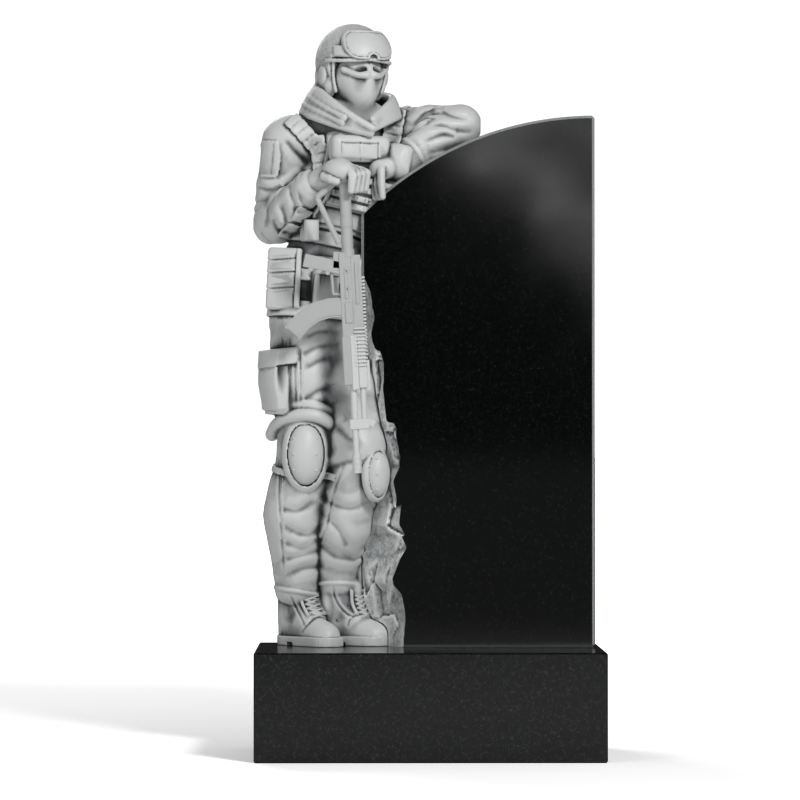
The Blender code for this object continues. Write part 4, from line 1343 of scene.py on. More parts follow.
    def left_hand(self) -> None:
        """The gloved hand that hangs from the wrist over the stele's corner."""
        clay = self.clay
        wrist = tuple(Vector(self.left_cuff).lerp(Vector(self.left_palm), 0.35))
        clay.chain([self.left_cuff, wrist, self.left_palm], [0.036, 0.034, 0.030], 0.004)
        palm = Vector(self.left_palm)
        clay.egg(tuple(palm + Vector((0.016, 0.014, 0.004))), (0.044, 0.036, 0.030), (0, -24, 20), 0.016)
        for n in range(4):
            self.finger(
                [
                    tuple(palm + Vector((-0.014 + 0.006 * n, 0.028 - 0.018 * n, -0.004))),
                    tuple(palm + Vector((-0.026 + 0.010 * n, 0.024 - 0.019 * n, -0.044))),
                    tuple(palm + Vector((-0.022 + 0.010 * n, 0.018 - 0.018 * n, -0.084))),
                ],
                0.0115,
            )
        along = Vector(self.left_cuff) - Vector(self.left_middle)
        band = Vector(self.left_cuff) - along * 0.12
        clay.limb(tuple(band - along * 0.16), tuple(band + along * 0.16), (0.047, 0.046), 0.0005)
        self.hoop(tuple(band + along * 0.30), tuple(along), 0.041, 0.006)
        self.hoop(tuple(band - along * 0.30), tuple(along), 0.046, 0.005)

    def boots(self) -> None:
        """Both laced boots."""
        self.boot(self.right_ankle, *self.right_sole)
        self.boot(self.left_ankle, *self.left_sole)
        self.clay.egg((-0.098, 0.150, 0.130), (0.024, 0.040, 0.070), (0, 0, 0), 0.010)
        for line in BOOT_SEAMS:
            self.clay.stroke(line, 0.0034, 0.0034, (-0.20, 0.16), crest=0.5)

    def boot(self, ankle: Point, heel: Point, toe: Point) -> None:
        """Adds one boot.

        Args:
            ankle: Centre of the ankle.
            heel: Back of the sole.
            toe: Front of the sole.
        """
        clay = self.clay
        top, back, front = Vector(ankle), Vector(heel), Vector(toe)
        along = (front - back).normalized()
        across = Vector((along.y, -along.x, 0))
        yaw = math.degrees(math.atan2(along.x, -along.y))
        instep = back.lerp(front, 0.52) + UP * 0.062
        tongue = back + along * 0.080 + UP * 0.125
        low_heel = back + along * 0.044 + UP * 0.030
        ball = back.lerp(front, 0.70) + UP * 0.030
        arch = back + along * 0.088 + UP * 0.004
        cuff = back + along * 0.082 + UP * 0.160
        clay.limb(tuple(top), tuple(back + along * 0.058 + UP * 0.080), (0.056, 0.054), 0.003)
        clay.limb(tuple(back + along * 0.050 + UP * 0.050), tuple(instep), (0.047, 0.047), 0.012)
        clay.chain([tuple(cuff), tuple(tongue), tuple(instep)], [0.040, 0.042, 0.042], 0.010)
        clay.egg(tuple(back.lerp(front, 0.67) + UP * 0.030), (0.0445, 0.080, 0.047), (0, 0, yaw), 0.010)
        clay.egg(tuple(back.lerp(front, 0.79) + UP * 0.028), (0.0455, 0.052, 0.044), (0, 0, yaw), 0.0005)
        clay.limb(tuple(low_heel), tuple(ball), (0.043, 0.046), 0.010)
        collar = [cuff + along * 0.034 + across * 0.033 * side for side in (-1, 1)]
        lower = [instep + along * 0.026 + UP * 0.030 + across * 0.030 * side for side in (-1, 1)]
        for high, low in zip(collar, lower):
            route = rounded([tuple(high), tuple(high.lerp(low, 0.55) + along * -0.010), tuple(low)], 2)
            clay.chain(route, 0.0045, 0.003)
        self.sole(back + along * 0.047, front - along * 0.041, SOLE_RADII, SOLE_HEIGHT)
        clay.block(tuple(arch), (0.12, 0.030, 0.012), (0, 0, yaw), 0.002, 0.001, Operation.CUT)

    def sole(self, heel: Vector, toe: Vector, radii: tuple[float, float], height: float) -> None:
        """Adds a flat sole with round ends.

        Args:
            heel: Centre of the heel's round end.
            toe: Centre of the toe's round end.
            radii: Radius at the heel and at the toe.
            height: Its thickness.
        """
        below, above = np.array([0.06, 0.06, 0.01]), np.array([0.06, 0.06, 0.04])
        spans, x, y, z = self.clay.window(np.minimum(heel, toe) - below, np.maximum(heel, toe) + above)
        run = toe - heel
        share = np.clip(((x - heel.x) * run.x + (y - heel.y) * run.y) / (run.x**2 + run.y**2), 0, 1)
        gap = np.hypot(x - heel.x - share * run.x, y - heel.y - share * run.y)
        side = gap - radii[0] - (radii[1] - radii[0]) * share
        self.clay.merge(spans, np.maximum(side, np.abs(z - height / 2) - height / 2), 0.001, Operation.ADD)

    def piece(self, stone: bpy.types.Material) -> bpy.types.Object:
        """Takes the surface, thins it and dresses it.

        Args:
            stone: The figure's finish.

        Returns:
            The finished piece.
        """
        points, faces = self.clay.surface()
        points = np.clip(points, np.array(SOLDIER_LOW - DATUM), np.array(SOLDIER_HIGH - DATUM))
        made = link("carved_soldier", mesh_from("carved_soldier", points, faces))
        triangles = len(faces) * 2
        thin = made.modifiers.new("thin", "DECIMATE")
        thin.ratio = min(1.0, self.most_faces / triangles)
        settle(made)
        made.data.shade_smooth()
        measure_recess(made.data)
        made.data.materials.clear()
        made.data.materials.append(stone)
        left = len(made.data.polygons)
        LOG.info("carved soldier: %d triangles before thinning, %d after", triangles, left)
        return made


@dataclass
class Rifle:
    """The rifle held muzzle down, carved with sharp edges.

    Attributes:
        back: The Y of its middle plane.
        butt: Middle of the end of the butt.
        muzzle: Middle of the muzzle.
        edge: Width of the chamfers.
        work: The mesh being built.
    """

    back: float = -0.112
    butt: Point = (-0.048, -0.112, 1.352)
    muzzle: Point = (-0.010, -0.112, 0.498)
    edge: float = 0.003
    work: bmesh.types.BMesh = field(init=False)

    def __post_init__(self) -> None:
        """Starts an empty mesh."""
        self.work = bmesh.new()

    def down(self, drop: float, across: float = 0.0, back: float = 0.0) -> Vector:
        """A point this share of the way from butt to muzzle."""
        return Vector(self.butt).lerp(Vector(self.muzzle), drop) + Vector((across, back, 0))

    def box(self, centre: Vector, size: Triple, turn: float = RIFLE_TILT) -> None:
        """Adds a box with small chamfers, turned in the plane of the rifle.

        Args:
            centre: Its centre.
            size: Its full width, depth and height.
            turn: Its turn about Y in degrees.
        """
        spin = Euler((0, math.radians(turn), 0)).to_matrix().to_4x4()
        place = Matrix.Translation(centre) @ spin @ Matrix.Diagonal((*size, 1))
        made = bmesh.ops.create_cube(self.work, size=1, matrix=place)
        edges = list({edge for corner in made["verts"] for edge in corner.link_edges})
        bmesh.ops.bevel(
            self.work, geom=edges, offset=min(self.edge, min(size) * 0.2), segments=2, profile=0.5,
            affect="EDGES",
        )

    def rod(self, start: Vector, end: Vector, radius: float, end_radius: float | None = None) -> None:
        """Adds a round bar.

        Args:
            start: Middle of its first end.
            end: Middle of its last end.
            radius: Radius at its first end.
            end_radius: Radius at its last end, when that differs.
        """
        axis = Vector(end) - Vector(start)
        turn = UP.rotation_difference(axis).to_matrix().to_4x4()
        bmesh.ops.create_cone(
            self.work, cap_ends=True, segments=28, radius1=radius, radius2=end_radius or radius,
            depth=axis.length, matrix=Matrix.Translation((Vector(start) + Vector(end)) / 2) @ turn,
        )

    def build(self) -> bpy.types.Object:
        """Builds the stock, receiver, grip, magazine, fore-end and barrel.

        Returns:
            The rifle. Its stock, receiver, grip, magazine and part of its fore-end use the darker finish, a
            copy of the pale one with painted shade.
        """
        y = self.back
        self.rod(self.down(-0.01), self.down(0.262), 0.0165)
        self.rod(self.down(0.13), self.down(0.16), 0.0185)
        self.rod(self.down(0.235), self.down(0.262), 0.0195)
        self.rod(Vector((-0.128, y, 1.300)), Vector((-0.064, y, 1.168)), 0.0085)
        self.rod(Vector((-0.128, y, 1.300)), Vector((-0.050, y, 1.366)), 0.0095)
        self.box(self.down(0.400, -0.009), (0.034, 0.034, 0.262))
        self.box(self.down(0.398, 0.019), (0.036, 0.028, 0.246))
        self.box(self.down(0.350, 0.022, -0.004), (0.008, 0.028, 0.120))
        self.box(self.down(0.450, -0.004, -0.004), (0.022, 0.034, 0.060))
        self.box(self.down(0.350, -0.008, -0.003), (0.010, 0.034, 0.090))
        for n in range(3):
            drop = 0.31 + 0.06 * n
            self.rod(self.down(drop, -0.004, -0.020), self.down(drop, -0.004, 0.0), 0.004)
        self.box(Vector((-0.110, y, 1.108)), (0.112, 0.026, 0.038), 12)
        for n in range(3):
            x, z = -0.144 + 0.024 * n, 1.094 - 0.005 * n
            self.rod(Vector((x, y - 0.012, z)), Vector((x, y + 0.012, z)), 0.0070)
        self.box(Vector((-0.062, y, 1.118)), (0.040, 0.026, 0.050), 4)
        self.rod(Vector((-0.086, y, 1.090)), Vector((-0.080, y, 1.022)), 0.0045)
        self.rod(Vector((-0.080, y, 1.022)), Vector((-0.046, y, 1.020)), 0.0045)
        self.rod(Vector((-0.062, y, 1.070)), Vector((-0.050, y, 1.056)), 0.0035)
        self.magazine()
        self.box(self.down(0.612, -0.014), (0.026, 0.040, 0.140))
        # Every face made so far gets the second, darker finish, which is painted shade
        for face in self.work.faces:
            face.material_index = 1
        self.box(self.down(0.618, 0.006), (0.020, 0.036, 0.158))
        self.box(self.down(0.615, 0.028), (0.024, 0.030, 0.150))
        self.box(self.down(0.660, 0.044), (0.010, 0.016, 0.090))
        self.rod(self.down(0.68, -0.001), self.down(0.94), 0.0095)
        self.rod(self.down(0.68, 0.027), self.down(0.83, 0.027), 0.0085)
        self.box(self.down(0.825, 0.012), (0.056, 0.026, 0.030))
        self.box(self.down(0.820, 0.046), (0.024, 0.012, 0.020), 27)
        self.rod(self.down(0.925), self.down(0.990), 0.0130)
        for n in range(3):
            self.rod(self.down(0.935 + 0.018 * n), self.down(0.941 + 0.018 * n), 0.0145)
        mesh = bpy.data.meshes.new("rifle")
        bmesh.ops.translate(self.work, verts=self.work.verts, vec=DATUM)
        self.work.to_mesh(mesh)
        self.work.free()
        return link("carved_rifle", mesh)

    def magazine(self) -> None:
        """Adds the curved magazine as one bent bar with a ridge down its spine."""
        y = self.back
        line = [(-0.034, 0.984), (-0.090, 0.982), (-0.132, 0.970), (-0.168, 0.944), (-0.198, 0.908)]
        for wide, deep in ((0.056, 0.024), (0.044, 0.030)):
            rows = []
            for place, (x, z) in enumerate(line):
                last, following = line[max(0, place - 1)], line[min(len(line) - 1, place + 1)]
                along = Vector((following[0] - last[0], 0, following[1] - last[1])).normalized()
                across = Vector((-along.z, 0, along.x)) * wide / 2
                middle = Vector((x, y, z))
                if wide < 0.05 and place == len(line) - 1:
                    middle += along * -0.003
                corners = [
                    middle + across * sign + Vector((0, deep / 2 * side, 0))
                    for sign, side in ((1, -1), (1, 1), (-1, 1), (-1, -1))
                ]
                rows.append([self.work.verts.new(corner) for corner in corners])
            for low, high in zip(rows, rows[1:]):
                for n in range(4):
                    self.work.faces.new((low[n], low[(n + 1) % 4], high[(n + 1) % 4], high[n]))
            self.work.faces.new(rows[0][::-1])
            self.work.faces.new(rows[-1])
        bmesh.ops.recalc_face_normals(self.work, faces=self.work.faces)


class Shape(Enum):
    """What a row repeats."""

    STUD = "stud"
    BAR = "bar"
    RIB = "rib"


@dataclass
class Row:
    """A row of one small shape, made by a Geometry Nodes tree on points that carry their directions.

    Attributes:
        name: Name of the finished piece.
        shape: What is repeated.
        size: Width, depth and height of one shape.
        spots: Where each one sits.
        facings: The way that each one's height points.
    """

    name: str
    shape: Shape
    size: Triple
    spots: list[Vector] = field(default_factory=list)
    facings: list[Vector] = field(default_factory=list)

    def add(self, spot: Vector, facing: Vector) -> None:
        """Adds one place to the row."""
        self.spots.append(Vector(spot))
        self.facings.append(Vector(facing).normalized())

    def tree(self) -> bpy.types.NodeTree:
        """Builds the node tree, with its size and material as named inputs.

        Returns:
            The tree.
        """
        tree = bpy.data.node_groups.new(f"{self.name}_nodes", "GeometryNodeTree")
        face = tree.interface
        face.new_socket(name="Geometry", in_out="INPUT", socket_type="NodeSocketGeometry")
        face.new_socket(name="Size", in_out="INPUT", socket_type="NodeSocketVector")
        face.new_socket(name="Material", in_out="INPUT", socket_type="NodeSocketMaterial")
        face.new_socket(name="Geometry", in_out="OUTPUT", socket_type="NodeSocketGeometry")
        entry = add_node(tree, "NodeGroupInput")
        if self.shape is Shape.STUD:
            unit = add_node(tree, "GeometryNodeMeshIcoSphere", Radius=0.5, Subdivisions=3)
        elif self.shape is Shape.BAR:
            unit = add_node(tree, "GeometryNodeMeshCylinder", Vertices=12, Radius=0.5, Depth=1.0)
        else:
            unit = add_node(tree, "GeometryNodeMeshCube", Size=(1.0, 1.0, 1.0))
        facing = add_node(
            tree, "GeometryNodeInputNamedAttribute", {"data_type": "FLOAT_VECTOR"}, Name="facing"
        )
        turned = add_node(
            tree, "FunctionNodeAlignRotationToVector", {"axis": "Z"}, Vector=facing.outputs["Attribute"]
        )
        points = add_node(tree, "GeometryNodeMeshToPoints", Mesh=entry.outputs["Geometry"])
        copies = add_node(
            tree, "GeometryNodeInstanceOnPoints",
            Points=points.outputs["Points"], Instance=unit.outputs["Mesh"],
            Rotation=turned.outputs["Rotation"], Scale=entry.outputs["Size"],
        )
        real = add_node(tree, "GeometryNodeRealizeInstances", Geometry=copies.outputs["Instances"])
        dressed = add_node(
            tree, "GeometryNodeSetMaterial",
            Geometry=real.outputs["Geometry"], Material=entry.outputs["Material"],
        )
        out = add_node(tree, "NodeGroupOutput")
        tree.links.new(dressed.outputs["Geometry"], out.inputs["Geometry"])
        return tree

    def piece(self, stone: bpy.types.Material) -> bpy.types.Object:
        """Builds the row and turns it into a plain mesh.

        Args:
            stone: The row's finish.

        Returns:
            The finished piece.
        """
        points = bpy.data.meshes.new(self.name)
        points.from_pydata([tuple(spot + DATUM) for spot in self.spots], [], [])
        stored = points.attributes.new("facing", "FLOAT_VECTOR", "POINT")
        stored.data.foreach_set("vector", [part for way in self.facings for part in way])
        made = link(self.name, points)
        tree = self.tree()
        modifier = made.modifiers.new("row", "NODES")
        modifier.node_group = tree
        entries = [item for item in tree.interface.items_tree if item.in_out == "INPUT"]
        sockets = {item.name: item.identifier for item in entries}
        modifier[sockets["Size"]] = self.size
        modifier[sockets["Material"]] = stone
        settle(made)
        if self.shape is not Shape.RIB:
            made.data.shade_smooth()
        LOG.info("%s: %d times", self.name, len(self.spots))
        return made


@dataclass
class Details:
    """Small things that repeat on the figure and the rifle: rivets, laces, stitches, ribs and rail teeth.

    Attributes:
        figure: The carved figure, on whose surface they sit.
        skin: That surface, ready for finding places on it.
    """

    figure: bpy.types.Object
    skin: BVHTree = field(init=False)

    def __post_init__(self) -> None:
        """Prepares the figure's surface for finding places on it."""
        mesh = self.figure.data
        corners = [corner.co for corner in mesh.vertices]
        self.skin = BVHTree.FromPolygons(corners, [face.vertices[:] for face in mesh.polygons])

    def on_front(self, x: float, z: float) -> tuple[Vector, Vector] | None:
        """Finds the point and the normal where a level line from the front meets the figure.

        Args:
            x: The line's X.
            z: Its height.

        Returns:
            The point in the carver's frame and the normal, or None.
        """
        start = DATUM + Vector((x, FRONT_START, z))
        spot, normal, _, _ = self.skin.ray_cast(start, Vector((0, 1, 0)))
        return None if spot is None else (spot - DATUM, normal)

    def rivets(self) -> Row:
        """Six rivets on the right knee pad and three on the left one.

        Returns:
            The row.
        """
        row = Row("knee_rivets", Shape.STUD, (0.0085, 0.0085, 0.0060))
        for across in (-0.033, 0.033):
            for up in (-0.048, 0.0, 0.046):
                found = self.on_front(-0.163 + across, 0.562 + up)
                if found:
                    row.add(*found)
        for up in (-0.045, 0.0, 0.045):
            found = self.on_front(0.046, 0.503 + up)
            if found:
                row.add(*found)
        return row

    def laces(self, soldier: Soldier) -> Row:
        """Crossed laces up the front of both boots.

        Args:
            soldier: The figure, for the places of its soles.

        Returns:
            The row.
        """
        row = Row("boot_laces", Shape.BAR, (0.0056, 0.0060, 0.050))
        rungs, lowest, spacing = LACE_RUNGS
        for heel, toe in (soldier.right_sole, soldier.left_sole):
            along = Vector((toe[0] - heel[0], toe[1] - heel[1], 0)).normalized()
            across = Vector((along.y, -along.x, 0))
            for rung in range(rungs):
                height = lowest + spacing * rung
                start = Vector((toe[0], toe[1], height)) + along * 0.2
                spot, _, _, _ = self.skin.ray_cast(DATUM + start, -along)
                if spot is None:
                    continue
                for side in (-1, 1):
                    row.add(spot - DATUM - along * 0.0005, across + UP * 0.28 * side)
        return row

    def stitches(self) -> Row:
        """Stitches beside the trouser seams.

        Returns:
            The row.
        """
        row = Row("seam_stitches", Shape.BAR, (0.0017, 0.0017, 0.0075))
        for line in SEAMS:
            curve = [Vector((x, z)) for x, z in rounded(line, 2)]
            for a, b in zip(curve, curve[1:]):
                count = max(1, int((b - a).length / STITCH_SPACING))
                for step in range(count):
                    place = a.lerp(b, (step + 0.5) / count)
                    found = self.on_front(place.x + 0.008, place.y)
                    if found:
                        way = Vector((b.x - a.x, 0, b.y - a.y))
                        row.add(found[0], way - found[1] * way.dot(found[1]))
        return row

    @staticmethod
    def ribs(rifle: "Rifle") -> Row:
        """Cooling ribs across the fore-end.

        Args:
            rifle: The rifle that carries them.

        Returns:
            The row.
        """
        row = Row("fore_end_ribs", Shape.RIB, (0.034, 0.040, 0.0042))
        along = Vector(rifle.muzzle) - Vector(rifle.butt)
        count, first, spacing = FORE_END_RIBS
        for number in range(count):
            row.add(rifle.down(first + spacing * number, 0.025), along)
        return row

    @staticmethod
    def rail(rifle: "Rifle") -> Row:
        """Teeth of the rail down the receiver's far side.

        Args:
            rifle: The rifle that carries them.

        Returns:
            The row.
        """
        row = Row("rail_teeth", Shape.RIB, (0.010, 0.020, 0.0052))
        along = Vector(rifle.muzzle) - Vector(rifle.butt)
        count, first, spacing = RAIL_TEETH
        for number in range(count):
            row.add(rifle.down(first + spacing * number, 0.040), along)
        return row


@dataclass
class Stele:
    """The polished slab, with small chamfers along its edges, split rough at its lower left.

    Attributes:
        chamfer: Width of the chamfers.
        arc_steps: Straight pieces in the arc of the top.
        cell: Spacing of the grid that shapes the split stone.
        clearance: Gap kept round the figure.
        seed: Fixes the breaks.
        breaks: How many flat breaks the split has.
        slant: How far the breaks lean from one another.
        step: How far the breaks stand in or out.
        deepest: The furthest that a break stands from the split's main shape.
        sharp_angle: Edges above this angle stay sharp, in degrees.
    """

    chamfer: float = 0.008
    arc_steps: int = 72
    cell: float = 0.005
    clearance: float = 0.004
    seed: int = 7
    breaks: int = 380
    slant: float = 0.33
    step: float = 0.004
    deepest: float = 0.009
    sharp_angle: float = 14.0

    def outline(self) -> list[tuple[float, float]]:
        """Gives the slab's outline seen from the front.

        Returns:
            X and Z pairs, from the left end of the arc round to the foot.
        """
        points = [(0.0, stele_top(0))]
        for step in range(1, self.arc_steps):
            along = STELE_WIDTH * step / self.arc_steps
            points.append((along, stele_top(along)))
        return points + [(STELE_WIDTH, STELE_HEIGHT), (STELE_WIDTH, 0.0), (0.0, 0.0)]

    def slab(self) -> bpy.types.Object:
        """Builds the whole slab before it is split, with its chamfers in the second slot.

        Returns:
            The slab.
        """
        work = bmesh.new()
        corners = [work.verts.new(DATUM + Vector((x, 0, z))) for x, z in self.outline()]
        face = work.faces.new(corners)
        pushed = bmesh.ops.extrude_face_region(work, geom=[face])["geom"]
        moved = [item for item in pushed if isinstance(item, bmesh.types.BMVert)]
        bmesh.ops.translate(work, verts=moved, vec=(0, STELE_THICKNESS, 0))
        bmesh.ops.recalc_face_normals(work, faces=work.faces)
        mesh = bpy.data.meshes.new("stele")
        work.to_mesh(mesh)
        work.free()
        made = link("cut_stele", mesh)
        edge = made.modifiers.new("edge", "BEVEL")
        edge.width = self.chamfer
        edge.segments = 1
        edge.limit_method = "ANGLE"
        edge.angle_limit = math.radians(40)
        edge.material = 1
        return made

    def split_away(self, soldier: Soldier) -> tuple[np.ndarray, np.ndarray]:
        """Shapes the stone that has split away and the room for the soldier.

        Args:
            soldier: The figure, whose carving is kept clear.

        Returns:
            Points and faces of a closed lump to cut from the slab.
        """
        low, high = (-0.34, -0.12, -0.03), (0.20, 0.34, BREAK_TOP + 0.14)
        clay = Clay(low, high, self.cell)
        chance = np.random.default_rng(self.seed)
        spans, x, y, z = clay.window(np.array(low), np.array(high))
        bites = np.array(BREAK_PROFILE, dtype=np.float32)
        front = BREAK_BITE * np.interp(z / BREAK_TOP, bites[:, 0], bites[:, 1]).astype(np.float32)
        back = np.clip(y / 0.17, 0, 1.6)
        inward = 1 - (1 - np.clip(back, 0, 1)) ** 0.55
        edge = front - (front + 0.035) * inward - 0.02 * np.maximum(back - 1, 0)
        shape = x - edge
        seeds = chance.uniform(low, high, (self.breaks, 3))
        nearest = np.full(np.broadcast_shapes(x.shape, y.shape, z.shape), 9.0, dtype=np.float32)
        level = np.zeros_like(nearest)
        for spot in seeds:
            tilt = chance.normal(0, self.slant, 3)
            gap = (x - spot[0]) ** 2 + (y - spot[1]) ** 2 + (0.85 * (z - spot[2])) ** 2
            closer = gap < nearest
            nearest = np.where(closer, gap, nearest)
            plane = tilt[0] * (x - spot[0]) + tilt[1] * (y - spot[1]) + tilt[2] * (z - spot[2])
            level = np.where(closer, plane + chance.normal(0, self.step), level)
        shape = shape + np.clip(level, -self.deepest, self.deepest) * np.clip((z - 0.02) / 0.06, 0, 1)
        shape = np.maximum(shape, z - BREAK_TOP - 0.02)
        lump = np.broadcast_to(shape, clay.depth.shape)
        figure = self.figure_near(soldier, clay)
        lump = np.minimum(lump, figure - self.clearance)
        inner = np.full(lump.shape, 1.0, dtype=np.float32)
        inner[1:-1, 1:-1, 1:-1] = lump[1:-1, 1:-1, 1:-1]
        clay.depth = inner
        return clay.surface()

    @staticmethod
    def figure_near(soldier: Soldier, clay: Clay) -> np.ndarray:
        """Reads the figure's depth at the grid points of another grid.

        Args:
            soldier: The carved figure.
            clay: The other grid.

        Returns:
            The depth at each point of the other grid, one metre where the figure's grid doesn't reach.
        """
        source = soldier.clay
        places = []
        for axis in range(3):
            spots = clay.low[axis] + clay.cell * np.arange(clay.depth.shape[axis])
            places.append(np.rint((spots - source.low[axis]) / source.cell).astype(int))
        limits = [np.clip(place, 0, source.depth.shape[n] - 1) for n, place in enumerate(places)]
        values = source.depth[np.ix_(*limits)].copy()
        for axis, place in enumerate(places):
            away = (place < 0) | (place >= source.depth.shape[axis])
            index = [slice(None)] * 3
            index[axis] = away
            values[tuple(index)] = 1.0
        return values

    def piece(self, soldier: Soldier, finishes: list[bpy.types.Material]) -> bpy.types.Object:
        """Cuts the slab and dresses it.

        Args:
            soldier: The figure, which the stone keeps clear of.
            finishes: Polished, chamfer and split finishes.

        Returns:
            The finished piece.
        """
        made = self.slab()
        for finish in finishes:
            made.data.materials.append(finish)
        points, faces = self.split_away(soldier)
        lump = link("split_away", mesh_from("split_away", points, faces))
        for finish in finishes:
            lump.data.materials.append(finish)
        lump.data.polygons.foreach_set("material_index", [2] * len(lump.data.polygons))
        cut = made.modifiers.new("split", "BOOLEAN")
        cut.operation = "DIFFERENCE"
        cut.solver = "EXACT"
        cut.object = lump
        settle(made)
        bpy.data.objects.remove(lump)
        measure_recess(made.data, (4, 14, 40))
        made.data.shade_smooth()
        made.data.set_sharp_from_angle(angle=math.radians(self.sharp_angle))
        LOG.info("cut stele: %d faces", len(made.data.polygons))
        return made


@dataclass
class Plinth:
    """The polished block under the stele and the soldier.

    Attributes:
        chamfer: Width of the chamfers.
    """

    chamfer: float = 0.004

    def piece(self, finishes: list[bpy.types.Material]) -> bpy.types.Object:
        """Builds the block.

        Args:
            finishes: Polished and chamfer finishes.

        Returns:
            The finished piece.
        """
        work = bmesh.new()
        size = PLINTH_HIGH - PLINTH_LOW
        centre = Matrix.Translation((PLINTH_HIGH + PLINTH_LOW) / 2)
        bmesh.ops.create_cube(work, size=1, matrix=centre @ Matrix.Diagonal((*size, 1)))
        mesh = bpy.data.meshes.new("plinth")
        work.to_mesh(mesh)
        work.free()
        made = link("sawn_plinth", mesh)
        edge = made.modifiers.new("edge", "BEVEL")
        edge.width = self.chamfer
        edge.segments = 1
        edge.material = 1
        settle(made)
        for finish in finishes:
            made.data.materials.append(finish)
        return made


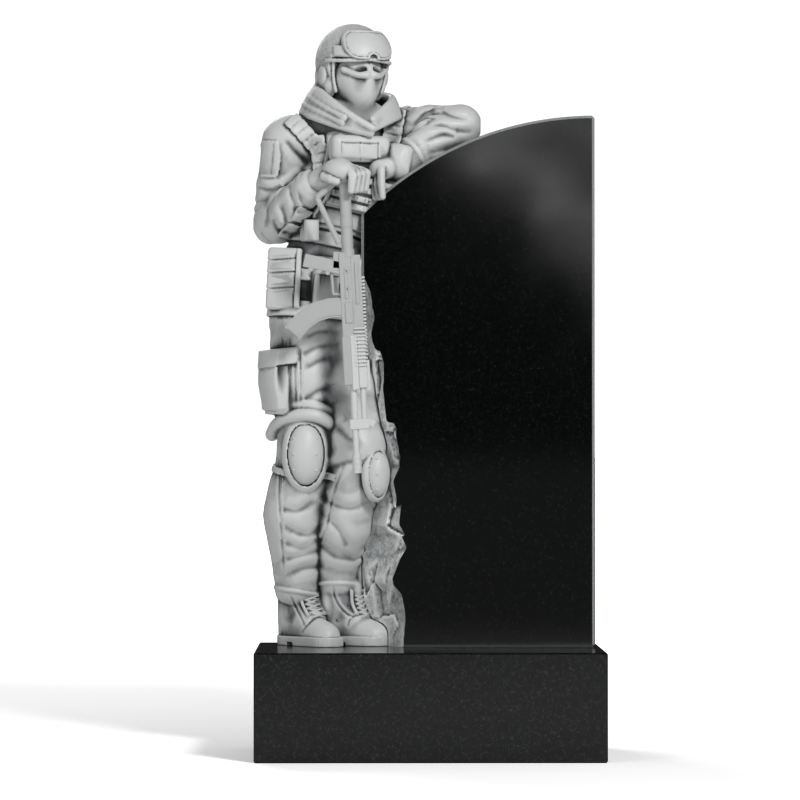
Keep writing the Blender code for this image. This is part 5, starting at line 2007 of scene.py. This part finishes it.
@dataclass
class Studio:
    """Floor, light and camera.

    Attributes:
        eye: Where the camera stands.
        vanishing: Where the level line straight ahead falls in the picture, in pixels.
        focal: Focal length in pixels.
        picture: Width and height of the picture in pixels.
    """

    eye: Point = (-0.1945, -11.2, 0.8838)
    vanishing: tuple[float, float] = (362.0, 450.0)
    focal: float = 3856.4
    picture: float = 800.0

    def camera(self) -> None:
        """Points the camera as the photograph's was."""
        seen = bpy.data.cameras.new("camera")
        seen.sensor_width = 36.0
        seen.lens = 36.0 * self.focal / self.picture
        made = bpy.data.objects.new("camera", seen)
        made.location = self.eye
        yaw = math.atan((self.picture / 2 - self.vanishing[0]) / self.focal)
        rise = math.atan((self.vanishing[1] - self.picture / 2) / self.focal)
        made.rotation_euler = (math.pi / 2 + rise, 0, -yaw)
        bpy.context.scene.collection.objects.link(made)
        bpy.context.scene.camera = made

    def lamp(self, name: str, place: Point, aim: Point, size: float, power: float) -> None:
        """Adds one soft lamp aimed at a point.

        Args:
            name: The lamp's name.
            place: Where it hangs.
            aim: The point that it lights.
            size: Its diameter.
            power: Its power in watts.
        """
        light = bpy.data.lights.new(name, "AREA")
        light.shape = "DISK"
        light.size = size
        light.energy = power
        made = bpy.data.objects.new(name, light)
        made.location = place
        made.rotation_euler = (Vector(aim) - Vector(place)).to_track_quat("-Z", "Y").to_euler()
        bpy.context.scene.collection.objects.link(made)

    def world(self) -> None:
        """Lights the scene softly, with a pale backdrop and a darker room that the polish mirrors."""
        world = bpy.data.worlds.new("studio")
        world.use_nodes = True
        bpy.context.scene.world = world
        tree = world.node_tree
        tree.nodes.clear()
        path = add_node(tree, "ShaderNodeLightPath")
        pale = add_node(tree, "ShaderNodeBackground", Color=(1.0, 1.0, 1.0, 1.0), Strength=1.15)
        dim = add_node(tree, "ShaderNodeBackground", Color=(1.0, 1.0, 1.0, 1.0), Strength=0.20)
        dark = add_node(tree, "ShaderNodeBackground", Color=(1.0, 1.0, 1.0, 1.0), Strength=self.clouds(tree))
        glossy = add_node(tree, "ShaderNodeMixShader", Fac=path.outputs["Is Glossy Ray"])
        tree.links.new(dim.outputs[0], glossy.inputs[1])
        tree.links.new(dark.outputs[0], glossy.inputs[2])
        mixed = add_node(tree, "ShaderNodeMixShader", Fac=path.outputs["Is Camera Ray"])
        tree.links.new(glossy.outputs[0], mixed.inputs[1])
        tree.links.new(pale.outputs[0], mixed.inputs[2])
        out = add_node(tree, "ShaderNodeOutputWorld")
        tree.links.new(mixed.outputs[0], out.inputs["Surface"])

    @staticmethod
    def clouds(tree: bpy.types.NodeTree) -> bpy.types.NodeSocket:
        """Paints faint clouds on the wall behind the camera, which the stele's upper right mirrors.

        Args:
            tree: The world's node tree.

        Returns:
            How bright the room is in each direction.
        """
        way = add_node(tree, "ShaderNodeTexCoord").outputs["Generated"]
        parts = add_node(tree, "ShaderNodeSeparateXYZ", Vector=way)
        slant = add_node(
            tree, "ShaderNodeMath", {"operation": "MULTIPLY_ADD"}, at_0=parts.outputs["X"], at_1=0.83,
            at_2=parts.outputs["Z"],
        )
        near = add_node(
            tree, "ShaderNodeMapRange", {"interpolation_type": "SMOOTHSTEP"}, Value=slant.outputs[0],
            From_Min=0.087, From_Max=0.101,
        )
        behind = add_node(
            tree, "ShaderNodeMath", {"operation": "LESS_THAN"}, at_0=parts.outputs["Y"], at_1=-0.9
        )
        flat = add_node(
            tree, "ShaderNodeMapping", {"vector_type": "POINT"}, Vector=way, Scale=(45.0, 1.0, 130.0)
        )
        puffs = add_node(
            tree, "ShaderNodeTexNoise", Vector=flat.outputs[0], Scale=1.0, Detail=5.0, Roughness=0.6
        )
        soft = add_node(
            tree, "ShaderNodeMapRange", {"interpolation_type": "SMOOTHSTEP"}, Value=puffs.outputs["Fac"],
            From_Min=0.42, From_Max=0.68, To_Min=0.5, To_Max=4.6,
        )
        part = add_node(
            tree, "ShaderNodeMath", {"operation": "MULTIPLY"},
            at_0=near.outputs["Result"], at_1=behind.outputs[0],
        )
        return add_node(
            tree, "ShaderNodeMath", {"operation": "MULTIPLY_ADD"}, at_0=part.outputs[0],
            at_1=soft.outputs["Result"], at_2=0.02,
        ).outputs[0]

    def floor(self) -> None:
        """Lays a plain pale floor."""
        bpy.ops.mesh.primitive_plane_add(size=900, location=(0, 0, -0.0005))
        made = bpy.context.object
        made.name = "floor"
        finish = bpy.data.materials.new("matt_paper")
        finish.use_nodes = True
        shader = finish.node_tree.nodes["Principled BSDF"]
        shader.inputs["Base Color"].default_value = linear("#F2F2F2")
        shader.inputs["Roughness"].default_value = 0.9
        made.data.materials.append(finish)
        made.is_shadow_catcher = True

    def build(self) -> None:
        """Sets up everything round the object."""
        bpy.context.scene.view_settings.view_transform = "Standard"
        self.camera()
        self.world()
        self.floor()
        middle = (-0.05, 0.0, 1.15)
        self.lamp("key", (2.3, -5.0, 4.6), middle, size=1.3, power=235)
        self.lamp("fill", (-3.8, -3.6, 2.0), middle, size=3.0, power=42)
        self.lamp("rim", (-1.6, 3.4, 3.6), middle, size=2.0, power=50)


def hand_over(piece: bpy.types.Object, node: str) -> None:
    """Lets a finished piece stand for a node and ride with the memorial.

    Args:
        piece: The finished piece.
        node: The solid that it stands for.
    """
    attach(piece, "root")
    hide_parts(node)
    LOG.info("%s stands for %s", piece.name, node)


def main() -> None:
    """Builds the stage, then each stone."""
    Studio().build()
    carved, polished = CarvedStone().make(), PolishedStone().make()
    chamfered, split = HonedChamferPaintedHighlight().make(), SplitStone().make()
    # Both rifle finishes paint highlight on convex edges and shade in concave corners
    honed = CarvedStone("carved_honed_gabbro", "#D8D9D9", "#B6B8B8", paints_edge_shade=True).make()
    # A darker copy of the rifle's finish, as painted shade on its stock, receiver, grip and magazine
    shaded = CarvedStone("carved_honed_gabbro_painted_shade", "#B8BABA", "#8E9191", paints_edge_shade=True).make()
    coarse = PolishedStone(
        "polished_speckled_gabbro", "#151617", "#2A2C2D", "#56595B", crystal_mm=4.5, roughness=0.16
    ).make()
    hand_over(Plinth().piece([coarse, chamfered]), "plinth")
    soldier = Soldier()
    soldier.carve()
    figure = soldier.piece(carved)
    hand_over(figure, "soldier")
    gun = Rifle()
    rifle = gun.build()
    rifle.data.materials.append(honed)
    rifle.data.materials.append(shaded)
    hand_over(rifle, "soldier")
    details = Details(figure)
    rows = [details.rivets(), details.laces(soldier), details.stitches()]
    for row in rows:
        hand_over(row.piece(carved), "soldier")
    for row in (details.ribs(gun), details.rail(gun)):
        hand_over(row.piece(honed), "soldier")
    hand_over(Stele().piece(soldier, [polished, chamfered, split]), "stele")


if __name__ == "__main__":
    main()
